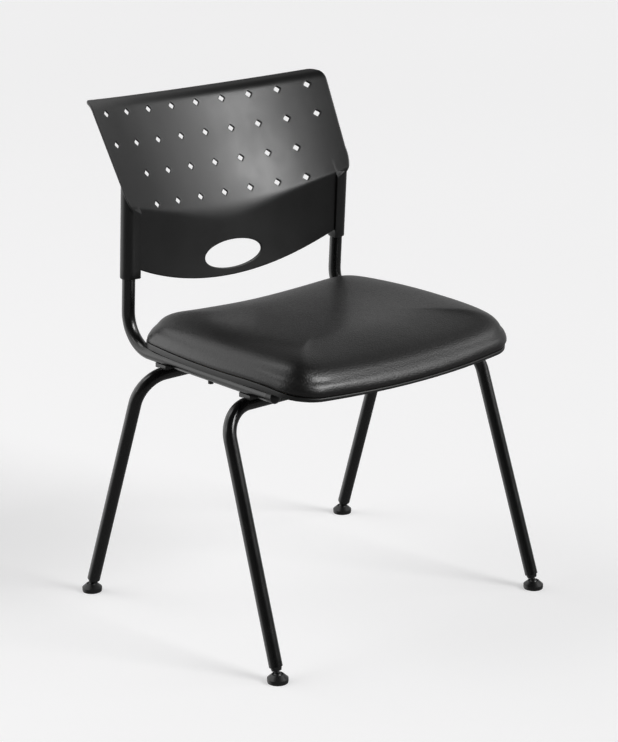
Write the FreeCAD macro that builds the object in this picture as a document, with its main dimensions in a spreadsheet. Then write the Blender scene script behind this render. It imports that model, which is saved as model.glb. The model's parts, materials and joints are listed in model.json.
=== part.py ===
"""Stacking chair: a bent tube frame, an upholstered seat, a moulded backrest and tilting feet.

Millimetres, +Z up, the chair faces -Y and +X is the sitter's left. The origin is on the floor
under the middle of the overall box. Every piece is drawn about the middle of the four feet and
is then moved along Y by `frame_shift`, so a y below is measured from the middle of the feet.
"""
import FreeCAD, Part
import math
import os

import Sketcher

Vector = FreeCAD.Vector
Rotation = FreeCAD.Rotation
Placement = FreeCAD.Placement

# Driving sizes. Each one is a cell of the sheet and is written only here.
SIZES = {
    # tube frame
    "tube_diameter": (20.0, "outside of every tube"),
    "tube_wall": (1.8, "wall of every tube"),
    "rail_offset": (209.2, "side tube's axis from the middle plane"),
    "rail_height": (398.2, "axis of the level part of a side tube"),
    "rail_front": (-148.0, "front end of a side tube"),
    "rail_bend_radius": (52.5, "bend between rail and upright, on the axis"),
    "upright_base": (187.6, "where the upright's axis would meet the rail's axis"),
    "upright_lean": (3.34, "degrees that the upright leans forward"),
    "upright_top": (611.0, "height of the upright's end"),
    "hoop_spacing": (98.0, "cross tube's axis from the middle"),
    "hoop_corner": (253.2, "where a leg's axis would meet the cross tube's axis"),
    "hoop_bend_radius": (45.5, "bend at the top of a leg, on the axis"),
    "foot_span": (263.7, "foot's centre from the middle plane"),
    "foot_reach": (224.3, "foot's centre from the middle, front to back"),
    "saddle_length": (24.0, "weld block, along the rail"),
    "saddle_width": (14.0, "weld block, along the cross tube"),
    "saddle_wrap": (1.5, "weld block's grip on each tube"),
    "saddle_gap": (0.1, "between a weld block and each tube"),
    "saddle_rise": (3.7, "open height between a cross tube and a rail"),
    "plug_visible": (16.0, "rail plug's head, with its dome"),
    "plug_dome": (12.5, "radius of the rail plug's dome"),
    "plug_grip": (16.0, "rail plug's shank inside the tube"),
    "press_gap": (0.05, "around a pressed plug or a self-cutting screw"),
    "shank_gap": (0.2, "around the shank of a screw that passes through"),
    "buffer_place": (-13.0, "stacking buffer along the rail"),
    "buffer_diameter": (8.0, "stacking buffer's head"),
    "buffer_drop": (4.0, "stacking buffer below the rail"),
    "buffer_stem": (4.5, "stacking buffer's stem diameter"),
    # tilting feet
    "ball_radius": (6.5, "foot's ball"),
    "ball_gap": (0.06, "running gap on both sides of the ball's liner"),
    "ball_seat": (0.6, "between the ball and the sole"),
    "liner_thickness": (1.9, "liner around the ball"),
    "liner_rise": (2.5, "liner's upper edge above the ball's centre"),
    "liner_drop": (4.0, "liner's lower edge below the ball's centre"),
    "stem_radius": (3.9, "between the ball and its collar"),
    "collar_start": (8.0, "collar's lower end from the ball's centre"),
    "collar_end": (13.6, "collar's upper end, where the tube sits, from the ball's centre"),
    "collar_radius": (7.0, "collar's lower end"),
    "collar_flare": (8.6, "collar's upper end"),
    "insert_grip": (26.0, "foot insert's shank inside the leg"),
    "foot_radius": (15.5, "widest part of a foot"),
    "foot_rim": (6.5, "top of the foot's upright rim"),
    "foot_crown": (12.6, "top of the foot's cap"),
    "foot_crown_radius": (8.8, "outside of the cap at its top"),
    "sole_thickness": (1.9, "foot's sole"),
    "sole_inset": (0.5, "sole's edge inside the cap's edge"),
    # backrest
    "shell_thickness": (4.0, "wall of the backrest"),
    "upper_foot_y": (207.2, "upper panel's face on the middle plane at upper_foot_z"),
    "upper_foot_z": (602.5, "height that goes with upper_foot_y"),
    "upper_slope": (0.5236, "set-back of the upper panel's face for each unit of height"),
    "upper_low": (620.0, "height of the upper panel's tighter curve"),
    "upper_low_radius": (447.0, "plan radius of the face at upper_low"),
    "upper_high": (765.0, "height of the upper panel's flatter curve"),
    "upper_high_radius": (500.0, "plan radius of the face at upper_high"),
    "lower_low": (460.0, "height of the lower panel's flatter curve"),
    "lower_low_y": (184.0, "lower panel's face on the middle plane at lower_low"),
    "lower_high": (620.0, "height of the lower panel's tighter curve"),
    "lower_high_y": (199.0, "lower panel's face on the middle plane at lower_high"),
    "sleeve_step": (0.6, "front face of a sleeve ahead of the lower panel's side"),
    "fold_radius": (9.0, "crease between the panels at the sides"),
    "fold_softening": (86.0, "added to the crease's radius on the middle plane"),
    "fold_spread": (95.0, "half width over which the crease softens"),
    "lip_radius": (24.0, "roll of the top edge"),
    "lip_turn": (48.0, "degrees that the top edge rolls back"),
    "lip_flat": (11.0, "straight end of the rolled edge"),
    "lip_start": (784.0, "start of the roll, along the upper panel's slope"),
    "row_droop": (8.0, "fall of hole rows and top edge at droop_reach from the middle"),
    "droop_reach": (200.0, "half width that goes with row_droop"),
    "wing_top": (232.0, "half width of the upper panel at its top"),
    "wing_low": (223.2, "half width of the upper panel above its lower corner"),
    "wing_low_z": (650.0, "height that goes with wing_low"),
    "wing_foot": (207.0, "half width where the wing ends on the sleeve"),
    "wing_foot_z": (601.0, "height where the wing ends on the sleeve"),
    "wing_belly": (0.1, "outward curve of a wing's lower corner, as a share of its length"),
    "wing_corner": (14.0, "rounded top corners"),
    "apron_middle": (474.6, "bottom edge on the middle plane"),
    "apron_side": (517.0, "bottom edge at apron_half"),
    "apron_half": (196.0, "half width of the apron between the sleeves"),
    "sleeve_wall": (3.2, "from an upright's surface to the outside of its sleeve"),
    "sleeve_sink": (1.5, "top of a sleeve's blank behind the upper panel's face"),
    "sleeve_bottom": (505.0, "lower end of the sleeves"),
    "sleeve_gap": (0.15, "sleeve's bore around the upright"),
    "sleeve_roof": (59.0, "sleeve above the upright, up to the back of the upper panel"),
    "hole_pitch": (49.7, "between holes along a row and between rows"),
    "hole_side": (8.6, "side of a hole, which stands on its corner"),
    "hole_corner": (1.6, "rounded corners of a hole"),
    "top_row": (779.0, "highest row of holes, along the upper panel's slope"),
    "grip_width": (113.0, "hand hole"),
    "grip_rise": (43.0, "hand hole, up the panel"),
    "grip_height": (508.0, "hand hole's centre"),
    "back_screw_height": (545.0, "backrest screws"),
    "back_screw_shank": (4.0, "backrest screw's shank diameter"),
    "back_screw_head": (8.5, "backrest screw's head diameter"),
    "back_screw_recess": (1.5, "depth of the recess for the screw's head"),
    "back_screw_room": (0.3, "around the screw's head"),
    # seat
    "seat_back": (173.8, "rear edge of the pan"),
    "seat_front": (-236.8, "front edge of the pan on the middle plane"),
    "seat_bow": (23.0, "set-back of the front edge at its corners"),
    "seat_back_half": (223.0, "half width at the rear corners"),
    "seat_middle_half": (232.0, "half width at the widest part"),
    "seat_front_half": (219.5, "half width at the front corners"),
    "seat_back_corner": (75.0, "rear corner radius"),
    "seat_front_corner": (57.0, "front corner radius"),
    "dip_start": (-102.0, "where the seat starts to fall to the front"),
    "dip_radius": (540.0, "curve of the seam's fall to the front"),
    "tray_dip_radius": (760.0, "flatter curve of the pan's and the board's fall to the front"),
    "tail_start": (90.0, "where the seat starts to fall to the rear"),
    "tail_radius": (720.0, "curve of the seat's fall to the rear"),
    "pan_wall": (3.0, "pan's wall and floor"),
    "pan_rim": (9.4, "pan's rim below the seam"),
    "pan_floor": (9.0, "underside of the pan's floor below the seam"),
    "rail_clearance": (0.5, "between the seat and the side tubes"),
    "tray_gap": (0.3, "between a rail's top and the pan's floor"),
    "cover_gap": (0.2, "between the pan's wall and the cover"),
    "layer_gap": (0.2, "between the seat's layers: pan, cover, board and foam"),
    "board_thickness": (9.0, "plywood seat board"),
    "cover_thickness": (1.2, "upholstery"),
    "cover_tuck": (28.0, "cover turned in under the board"),
    "cushion_seam": (0.8, "open seam between cushion and pan"),
    "cushion_height": (39.0, "top of the cushion above the seam line"),
    "cushion_round": (30.0, "rounded top edge of the cushion"),
    "seat_screw_front": (-76.0, "front seat screws along the rail"),
    "seat_screw_back": (62.0, "rear seat screws along the rail"),
    "seat_screw_shank": (6.0, "seat screw's shank diameter"),
    "seat_screw_head": (10.0, "seat screw's head diameter"),
    "seat_screw_head_height": (3.2, "seat screw's head"),
    "seat_screw_access": (11.5, "hole in the rail's underside"),
    "washer_diameter": (11.0, "washer under a seat screw's head"),
    "washer_thickness": (1.0, "washer under a seat screw's head"),
    "tee_nut_flange": (17.0, "tee nut's flange diameter"),
    "tee_nut_barrel": (7.6, "tee nut's barrel diameter"),
    "tee_nut_sheet": (1.2, "tee nut's flange thickness"),
    "pan_screw_half": (120.0, "pan screws from the middle plane"),
    "pan_screw_back": (84.0, "rear pan screws"),
    "pan_screw_front": (-92.0, "front pan screws"),
    "pan_screw_shank": (3.5, "pan screw's shank diameter"),
    "pan_screw_head": (7.5, "pan screw's head diameter"),
    "pan_screw_length": (9.0, "pan screw's shank"),
}

# Sizes that follow from the driving sizes.
FOLLOWING = {
    "hoop_height": ("=rail_height - tube_diameter - saddle_rise", "axis of a leg hoop's cross tube"),
    "seat_line": (
        "=rail_height + tube_diameter / 2 + tray_gap + pan_floor",
        "seam between cushion and pan on the level part of the seat",
    ),
    "ball_height": ("=sole_thickness + ball_seat + ball_radius", "centre of a foot's ball above the floor"),
    "sleeve_radius": ("=tube_diameter / 2 + sleeve_wall", "outside of a sleeve"),
}

doc = FreeCAD.newDocument("stacking_chair")
sheet = doc.addObject("Spreadsheet::Sheet", "Sizes")
for row, (alias, (value, note)) in enumerate({**SIZES, **FOLLOWING}.items(), start=1):
    sheet.set(f"A{row}", note)
    sheet.set(f"B{row}", str(value))
    sheet.setAlias(f"B{row}", alias)
doc.recompute()

X_AXIS = Vector(1, 0, 0)
Y_AXIS = Vector(0, 1, 0)
Z_AXIS = Vector(0, 0, 1)
SIDES = {"left": 1, "right": -1}
ENDS = {"front": -1, "rear": 1}
FAR = 1000.0
PAST = 110.0
SHELL_SECTIONS = 12
subparts = []


# ---------------------------------------------------------------- document helpers
def size(alias):
    """The value of one cell of the sheet."""
    return float(sheet.get(alias))


def bind(thing, **expressions):
    """Bind properties to expressions in which an @ stands for the sheet."""
    for name, expression in expressions.items():
        thing.setExpression(name, expression.replace("@", "Sizes."))
    return thing


def place(position=Vector(0, 0, 0), rotation=Rotation()):
    return Placement(position, rotation)


def cylinder(radius, height, at=Placement()):
    solid = doc.addObject("Part::Cylinder", "Cylinder")
    bind(solid, Radius=radius, Height=height)
    solid.Placement = at
    return solid


def cone(low_radius, high_radius, height, at=Placement()):
    solid = doc.addObject("Part::Cone", "Cone")
    bind(solid, Radius1=low_radius, Radius2=high_radius, Height=height)
    solid.Placement = at
    return solid


def sphere(radius):
    solid = doc.addObject("Part::Sphere", "Sphere")
    return bind(solid, Radius=radius)


def box(length, width, height, at=Placement()):
    solid = doc.addObject("Part::Box", "Box")
    bind(solid, Length=length, Width=width, Height=height)
    solid.Placement = at
    return solid


def fuse(*solids):
    joined = doc.addObject("Part::MultiFuse", "Fuse")
    joined.Shapes = list(solids)
    joined.Refine = True
    return joined


def common(*solids):
    shared = doc.addObject("Part::MultiCommon", "Common")
    shared.Shapes = list(solids)
    return shared


def cut(base, *tools):
    for tool in tools:
        result = doc.addObject("Part::Cut", "Cut")
        result.Base = base
        result.Tool = tool
        base = result
    return base


def feature(shape):
    """A free-form piece whose shape is worked out below from the sheet."""
    solid = doc.addObject("Part::Feature", "Form")
    solid.Shape = shape
    return solid


def frame_shift():
    """From the middle of the feet to the middle of the box, from front feet to rolled edge."""
    front = -size("foot_reach") - size("foot_radius")
    edges = (shell_profile(0, depth)[-1].EndPoint.y for depth in (0, size("shell_thickness")))
    return -(front + max(edges)) / 2


def subpart(label, thing, at=Placement()):
    """Name a finished piece and put it in the chair's frame."""
    thing.Label = label
    thing.Placement = place(Vector(0, frame_shift(), 0)).multiply(at)
    subparts.append(thing)
    return thing


# ---------------------------------------------------------------- bent tubes
def origin_plane(body, role):
    return next(item for item in body.Origin.OriginFeatures if item.Role == role)


def dimension(sketch, kind, *where, expression):
    """Add a driving dimension and bind it to the sheet."""
    index = sketch.addConstraint(Sketcher.Constraint(kind, *where))
    bind(sketch, **{f"Constraints[{index}]": expression})


def bent_tube(name, plane, outline, constrain):
    """A PartDesign body: a hollow round section piped along a sketched path."""
    body = doc.addObject("PartDesign::Body", name)
    path = body.newObject("Sketcher::SketchObject", name + "_path")
    path.AttachmentSupport = [(origin_plane(body, plane), "")]
    path.MapMode = "FlatFace"
    path.addGeometry(outline, False)
    for number in range(len(outline) - 1):
        path.addConstraint(Sketcher.Constraint("Tangent", number, 2, number + 1, 1))
    constrain(path)
    doc.recompute()
    section = body.newObject("Sketcher::SketchObject", name + "_section")
    section.AttachmentSupport = [(path, "Edge1")]
    section.MapMode = "NormalToEdge"
    radius = size("tube_diameter") / 2
    for expression in ("@tube_diameter / 2", "@tube_diameter / 2 - @tube_wall"):
        ring = section.addGeometry(Part.Circle(Vector(), Z_AXIS, radius), False)
        section.addConstraint(Sketcher.Constraint("Coincident", ring, 3, -1, 1))
        dimension(section, "Radius", ring, radius, expression=expression)
    pipe = body.newObject("PartDesign::AdditivePipe", name + "_pipe")
    pipe.Profile = section
    pipe.Spine = (path, [f"Edge{number + 1}" for number in range(len(outline))])
    body.Tip = pipe
    return body


def upright_y(height):
    """Where an upright's axis is at a height."""
    rise = height - size("rail_height")
    return size("upright_base") - rise * math.tan(math.radians(size("upright_lean")))


def rail_path():
    """Rail, bend and upright on the side tube's own YZ plane."""
    radius = size("rail_bend_radius")
    lean = math.radians(size("upright_lean"))
    level = size("rail_height")
    tangent = radius * math.tan((math.pi / 2 + lean) / 2)
    start = Vector(size("rail_front"), level, 0)
    bend_start = Vector(size("upright_base") - tangent, level, 0)
    corner = Vector(size("upright_base"), level, 0)
    bend_end = corner + Vector(-math.sin(lean), math.cos(lean), 0) * tangent
    finish = Vector(upright_y(size("upright_top")), size("upright_top"), 0)
    bend = Part.Circle(bend_start + Vector(0, radius, 0), Z_AXIS, radius)
    return [
        Part.LineSegment(start, bend_start),
        Part.ArcOfCircle(bend, -math.pi / 2, lean),
        Part.LineSegment(bend_end, finish),
    ]


def side_tube(side):
    """Rail and upright in one length of tube, with its screw and buffer holes."""
    def constrain(path):
        path.addConstraint(Sketcher.Constraint("Horizontal", 0))
        dimension(path, "DistanceX", -1, 1, 0, 1, size("rail_front"), expression="@rail_front")
        dimension(path, "DistanceY", -1, 1, 0, 1, size("rail_height"), expression="@rail_height")
        dimension(path, "Radius", 1, size("rail_bend_radius"), expression="@rail_bend_radius")
        dimension(path, "DistanceY", -1, 1, 2, 2, size("upright_top"), expression="@upright_top")
        dimension(
            path, "DistanceX", -1, 1, 2, 2, upright_y(size("upright_top")),
            expression="@upright_base - (@upright_top - @rail_height) * tan(@upright_lean * 1 deg)",
        )
        angle = math.radians(90 + size("upright_lean"))
        dimension(path, "Angle", 2, angle, expression="(90 + @upright_lean) * 1 deg")

    tube = bent_tube(side + "_side_tube_body", "YZ_Plane", rail_path(), constrain)
    level = size("rail_height")
    drills = []
    for end in ("front", "back"):
        along = size("seat_screw_" + end)
        axis = place(Vector(0, along, level))
        drills.append(cylinder("@seat_screw_shank / 2 + @shank_gap", "@tube_diameter", axis))
        down = place(Vector(0, along, level - size("tube_diameter")))
        drills.append(cylinder("@seat_screw_access / 2", "@tube_diameter", down))
    peg = place(Vector(0, size("buffer_place"), level - size("tube_diameter")))
    drills.append(cylinder("@buffer_stem / 2 + @press_gap", "@tube_diameter", peg))
    back = Vector(0, upright_y(size("back_screw_height")), size("back_screw_height"))
    forward = place(back, Rotation(X_AXIS, -90))
    drills.append(cylinder("@back_screw_shank / 2 + @press_gap", "@tube_diameter", forward))
    drilled = cut(tube, fuse(*drills))
    subpart(side + "_side_tube", drilled, place(Vector(SIDES[side] * size("rail_offset"), 0, 0)))


def hoop_rise():
    """Height of the cross tube above the balls' centres, in the hoop's own plane."""
    up = size("hoop_height") - size("ball_height")
    return math.hypot(up, size("foot_reach") - size("hoop_spacing"))


RISE = "sqrt((@hoop_height - @ball_height)^2 + (@foot_reach - @hoop_spacing)^2)"
SPLAY = f"atan((@foot_span - @hoop_corner) / {RISE})"


def hoop_splay():
    """A leg's outward lean in the hoop's plane, in radians."""
    return math.atan2(size("foot_span") - size("hoop_corner"), hoop_rise())


def hoop_place(end):
    """From the hoop's own plane, with the balls' centres on its X axis, to the chair."""
    up = size("hoop_height") - size("ball_height")
    lean = math.degrees(math.atan2(size("foot_reach") - size("hoop_spacing"), up))
    foot = Vector(0, ENDS[end] * size("foot_reach"), size("ball_height"))
    return place(foot, Rotation(X_AXIS, ENDS[end] * lean))


def hoop_path():
    """Leg, bend, cross tube, bend and leg on the hoop's own XZ plane."""
    rise = hoop_rise()
    splay = hoop_splay()
    radius = size("hoop_bend_radius")
    corner = size("hoop_corner")
    tangent = radius * math.tan((math.pi / 2 - splay) / 2)
    foot = Vector(size("foot_span"), 0, 0)
    foot += Vector(-math.sin(splay), math.cos(splay), 0) * size("collar_end")
    low = Vector(corner + tangent * math.sin(splay), rise - tangent * math.cos(splay), 0)
    high = Vector(corner - tangent, rise, 0)
    flip = lambda point: Vector(-point.x, point.y, 0)
    bend = Part.Circle(Vector(high.x, rise - radius, 0), Z_AXIS, radius)
    mirrored = Part.Circle(Vector(-high.x, rise - radius, 0), Z_AXIS, radius)
    return [
        Part.LineSegment(foot, low),
        Part.ArcOfCircle(bend, splay, math.pi / 2),
        Part.LineSegment(high, flip(high)),
        Part.ArcOfCircle(mirrored, math.pi / 2, math.pi - splay),
        Part.LineSegment(flip(low), flip(foot)),
    ]


def leg_hoop(end):
    """Two legs and the cross tube under the rails, bent from one tube."""
    def constrain(path):
        outline = path.Geometry
        foot = outline[0].StartPoint
        splay = hoop_splay()
        path.addConstraint(Sketcher.Constraint("Horizontal", 2))
        path.addConstraint(Sketcher.Constraint("Equal", 1, 3))
        path.addConstraint(Sketcher.Constraint("Symmetric", 0, 1, 4, 2, -2))
        dimension(path, "Radius", 1, size("hoop_bend_radius"), expression="@hoop_bend_radius")
        dimension(path, "DistanceY", -1, 1, 2, 1, hoop_rise(), expression=RISE)
        across = f"@foot_span - @collar_end * sin({SPLAY})"
        dimension(path, "DistanceX", -1, 1, 0, 1, foot.x, expression=across)
        dimension(path, "DistanceY", -1, 1, 0, 1, foot.y, expression=f"@collar_end * cos({SPLAY})")
        dimension(path, "Angle", 0, math.pi / 2 + splay, expression=f"90 deg + {SPLAY}")
        dimension(path, "Angle", 4, -math.pi / 2 - splay, expression=f"-90 deg - {SPLAY}")

    hoop = bent_tube(end + "_leg_hoop_body", "XZ_Plane", hoop_path(), constrain)
    subpart(end + "_leg_hoop", hoop, hoop_place(end))


# ---------------------------------------------------------------- frame fittings
def saddle(end, side):
    """Weld block that seats the rail on the cross tube, hollowed to fit both tubes."""
    across = SIDES[side] * size("rail_offset")
    along = ENDS[end] * size("hoop_spacing")
    low = size("hoop_height") + size("tube_diameter") / 2 - size("saddle_wrap")
    corner = Vector(across - size("saddle_width") / 2, along - size("saddle_length") / 2, low)
    height = "@saddle_rise + 2 * @saddle_wrap"
    block = box("@saddle_width", "@saddle_length", height, place(corner))
    rail_start = Vector(across, along - size("saddle_length"), size("rail_height"))
    radius = "@tube_diameter / 2 + @saddle_gap"
    rail = cylinder(radius, "@saddle_length * 2", place(rail_start, Rotation(X_AXIS, -90)))
    hoop_start = Vector(across - size("saddle_width"), along, size("hoop_height"))
    hoop = cylinder(radius, "@saddle_width * 2", place(hoop_start, Rotation(Y_AXIS, 90)))
    subpart(f"{end}_{side}_saddle", cut(block, rail, hoop))


def rail_plug(side):
    """Plug pressed into a rail's front end, with a domed head."""
    head = cylinder("@tube_diameter / 2", "@plug_visible")
    dome = sphere("@plug_dome")
    dome.Placement = place(Vector(0, 0, size("plug_visible") - size("plug_dome")))
    shank_foot = place(Vector(0, 0, -size("plug_grip")))
    shank = cylinder("@tube_diameter / 2 - @tube_wall - @press_gap", "@plug_grip", shank_foot)
    plug = fuse(common(head, dome), shank)
    front = Vector(SIDES[side] * size("rail_offset"), size("rail_front"), size("rail_height"))
    subpart(side + "_rail_plug", plug, place(front, Rotation(X_AXIS, 90)))


def stack_buffer(side):
    """Peg under a rail that keeps a stacked chair off the paint."""
    rail_bottom = -size("tube_diameter") / 2
    head_foot = place(Vector(0, 0, rail_bottom - size("buffer_drop")))
    head = cylinder("@buffer_diameter / 2", "@buffer_drop + @buffer_diameter / 4", head_foot)
    along = place(Vector(0, -size("tube_diameter"), 0), Rotation(X_AXIS, -90))
    rail = cylinder("@tube_diameter / 2", "@tube_diameter * 2", along)
    stem_foot = place(Vector(0, 0, rail_bottom - size("buffer_drop") / 2))
    stem = cylinder("@buffer_stem / 2", "@buffer_drop / 2 + @tube_wall * 3", stem_foot)
    spot = Vector(SIDES[side] * size("rail_offset"), size("buffer_place"), size("rail_height"))
    subpart(side + "_stacking_buffer", fuse(cut(head, rail), stem), place(spot))


# ---------------------------------------------------------------- tilting feet
def foot_insert(end, side):
    """Plug in the leg's end with a collar under the tube, a stem and a ball."""
    ball = sphere("@ball_radius")
    stem = cylinder("@stem_radius", "@collar_start + 1")
    collar_foot = place(Vector(0, 0, size("collar_start")))
    collar = cone("@collar_radius", "@collar_flare", "@collar_end - @collar_start", collar_foot)
    shank_foot = place(Vector(0, 0, size("collar_end")))
    shank = cylinder("@tube_diameter / 2 - @tube_wall - @press_gap", "@insert_grip", shank_foot)
    leg = Rotation(Y_AXIS, -SIDES[side] * math.degrees(hoop_splay()))
    spot = Vector(SIDES[side] * size("foot_span"), 0, 0)
    insert = fuse(ball, stem, collar, shank)
    subpart(f"{end}_{side}_foot_insert", insert, hoop_place(end).multiply(place(spot, leg)))


def foot_ball(end, side):
    """The centre of a foot's ball."""
    across = SIDES[side] * size("foot_span")
    return Vector(across, ENDS[end] * size("foot_reach"), size("ball_height"))


def foot_liner(end, side):
    """Split ring of a sphere that the ball turns in."""
    outer = sphere("@ball_radius + @ball_gap + @liner_thickness")
    inner = sphere("@ball_radius + @ball_gap")
    band_foot = place(Vector(0, 0, -size("liner_drop")))
    band = cylinder("@foot_radius", "@liner_drop + @liner_rise", band_foot)
    subpart(f"{end}_{side}_foot_liner", cut(common(outer, band), inner), place(foot_ball(end, side)))


def foot_cap(end, side):
    """Cap around the liner: an upright rim and a cone up to the ball's mouth."""
    centre = size("ball_height")
    rim_foot = place(Vector(0, 0, size("sole_thickness") - centre))
    rim = cylinder("@foot_radius", "@foot_rim - @sole_thickness", rim_foot)
    crown_foot = place(Vector(0, 0, size("foot_rim") - centre))
    crown = cone("@foot_radius", "@foot_crown_radius", "@foot_crown - @foot_rim", crown_foot)
    socket = sphere("@ball_radius + @liner_thickness + 2 * @ball_gap")
    subpart(f"{end}_{side}_foot_cap", cut(fuse(rim, crown), socket), place(foot_ball(end, side)))


def foot_sole(end, side):
    """Wearing disc under the cap."""
    spot = foot_ball(end, side)
    disc = cylinder("@foot_radius - @sole_inset", "@sole_thickness")
    subpart(f"{end}_{side}_foot_sole", disc, place(Vector(spot.x, spot.y, 0)))


# ---------------------------------------------------------------- backrest
def plan_depth(radius, across):
    """How far a face of this plan radius comes forward at a distance from the middle."""
    return radius - math.sqrt(radius * radius - across * across)


def upper_line(across):
    """Two points, as (y, z), on the upper panel's face."""
    points = []
    for level in ("low", "high"):
        height = size("upper_" + level)
        middle = size("upper_foot_y") + (height - size("upper_foot_z")) * size("upper_slope")
        depth = plan_depth(size(f"upper_{level}_radius"), across)
        points.append(Vector(0, middle - depth, height))
    return points


def lower_line(across):
    """Two points on the lower panel's face, which meets the sleeves' faces at the sides."""
    points = []
    for level in ("low", "high"):
        height = size("lower_" + level)
        middle = size(f"lower_{level}_y")
        sleeve = upright_y(height) - size("sleeve_radius") + size("sleeve_step")
        share = (across / size("rail_offset")) ** 2
        points.append(Vector(0, middle - (middle - sleeve) * share, height))
    return points


def rearward(direction):
    """The normal of a profile line that points to the rear."""
    return Vector(0, direction.z, -direction.y)


def meet(point, direction, other, other_direction):
    """Where two lines of the YZ plane cross."""
    normal = rearward(other_direction)
    return point + direction * ((other - point).dot(normal) / direction.dot(normal))


def slope_up():
    """Unit vector up the upper panel's face on the middle plane."""
    return Vector(0, size("upper_slope"), 1).normalize()


def droop(across):
    return size("row_droop") * (across / size("droop_reach")) ** 2


def fold_radius(across):
    """Radius of the crease: tight at the sides and soft in the middle."""
    share = math.exp(-((across / size("fold_spread")) ** 2))
    return size("fold_radius") + size("fold_softening") * share


def arc_points(centre, radius, start_direction, turn):
    """Start, middle and end of an arc that turns from a direction towards the rear."""
    back = rearward(start_direction)
    points = []
    for share in (0, 0.5, 1):
        angle = turn * share
        points.append(centre + (start_direction * math.sin(angle) - back * math.cos(angle)) * radius)
    return points


def shell_profile(across, depth):
    """Lines and arcs of the shell's face, or of a surface at a depth behind it."""
    upper_low, upper_high = upper_line(across)
    lower_low, lower_high = lower_line(across)
    up = (upper_high - upper_low).normalize()
    low = (lower_high - lower_low).normalize()
    fold = meet(lower_low, low, upper_low, up)
    turn = low.getAngle(up)
    radius = fold_radius(across)
    fold_centre = fold - low * radius * math.tan(turn / 2) + rearward(low) * radius
    climb = size("lip_start") - droop(across) - upper_low.dot(slope_up())
    start = upper_low + up * (climb / up.dot(slope_up()))
    lip_centre = start + rearward(up) * size("lip_radius")
    lip_turn = math.radians(size("lip_turn"))
    fold_arc = arc_points(fold_centre, radius - depth, low, turn)
    lip_arc = arc_points(lip_centre, size("lip_radius") - depth, up, lip_turn)
    lip_way = up * math.cos(lip_turn) + rearward(up) * math.sin(lip_turn)
    bottom = lower_low + rearward(low) * depth
    end = lip_arc[2] + lip_way * size("lip_flat")
    return [
        Part.LineSegment(bottom, fold_arc[0]),
        Part.Arc(*fold_arc),
        Part.LineSegment(fold_arc[2], lip_arc[0]),
        Part.Arc(*lip_arc),
        Part.LineSegment(lip_arc[2], end),
    ]


def shell_station(across):
    """Closed section of the shell's wall on a plane across the chair."""
    face = [piece.toShape() for piece in shell_profile(across, 0)]
    back = [piece.toShape() for piece in shell_profile(across, size("shell_thickness"))]
    top = Part.makeLine(face[-1].lastVertex().Point, back[-1].lastVertex().Point)
    bottom = Part.makeLine(back[0].firstVertex().Point, face[0].firstVertex().Point)
    wire = Part.Wire(Part.__sortEdges__(face + [top] + back[::-1] + [bottom]))
    wire.translate(Vector(across, 0, 0))
    return wire


def stations():
    """Places of the shell's sections, from edge to edge and past them."""
    half = size("wing_top") + size("shell_thickness")
    return [half * (2 * number / SHELL_SECTIONS - 1) for number in range(SHELL_SECTIONS + 1)]


def lip_height(across):
    """Height of the rolled edge's end."""
    return shell_profile(across, 0)[-1].EndPoint.z


def shell_outline():
    """The shell seen from the front: apron, wings and rounded top corners."""
    half = size("apron_half")
    inside = size("rail_offset")
    corner = size("wing_corner")
    apron = Part.Arc(
        Vector(-half, 0, size("apron_side")),
        Vector(0, 0, size("apron_middle")),
        Vector(half, 0, size("apron_side")),
    )
    edges = [apron.toShape()]
    slant = (size("wing_top") - size("wing_low")) / (lip_height(size("wing_top")) - size("wing_low_z"))
    top_z = lip_height(size("wing_top") - corner)
    turn_z = top_z - corner
    turn_x = size("wing_low") + (turn_z - size("wing_low_z")) * slant
    foot = Vector(size("wing_foot"), 0, size("wing_foot_z"))
    low = Vector(size("wing_low"), 0, size("wing_low_z"))
    belly = (foot + low) * 0.5 + Vector(low.z - foot.z, 0, foot.x - low.x) * size("wing_belly")
    turn = Vector(turn_x, 0, turn_z)
    crest = Vector(turn_x - corner, 0, top_z)
    bulge = Vector(turn_x - corner * (1 - math.sqrt(0.5)), 0, turn_z + corner * math.sqrt(0.5))
    over = Vector(crest.x, 0, top_z + PAST)
    for flip in (1, -1):
        mirror = lambda point: Vector(point.x * flip, 0, point.z)
        side = [Vector(half, 0, size("apron_side")), Vector(inside, 0, size("apron_side"))]
        side += [Vector(inside, 0, size("wing_foot_z")), foot]
        for start, finish in zip(side, side[1:]):
            edges.append(Part.makeLine(mirror(start), mirror(finish)))
        edges.append(Part.Arc(mirror(foot), mirror(belly), mirror(low)).toShape())
        edges.append(Part.makeLine(mirror(low), mirror(turn)))
        edges.append(Part.Arc(mirror(turn), mirror(bulge), mirror(crest)).toShape())
        edges.append(Part.makeLine(mirror(crest), mirror(over)))
    edges.append(Part.makeLine(over, Vector(-over.x, 0, over.z)))
    return Part.Face(Part.Wire(Part.__sortEdges__(edges)))


def upright_frame(side, height):
    """Placement on an upright's axis, its Z along the axis."""
    spot = Vector(SIDES[side] * size("rail_offset"), upright_y(height), height)
    return place(spot, Rotation(X_AXIS, size("upright_lean")))


def sleeve_blank(side):
    """Outside of a sleeve: round, and squared to the panel's face on its inner front quarter."""
    radius = size("sleeve_radius")
    length = size("upright_top") + size("sleeve_roof") - size("sleeve_bottom")
    corner = Vector(min(0, -SIDES[side] * radius), -radius, 0)
    front = Part.makeBox(radius, radius, length, corner)
    blank = Part.makeCylinder(radius, length).fuse(front).removeSplitter()
    blank.Placement = upright_frame(side, size("sleeve_bottom"))
    return blank


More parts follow.
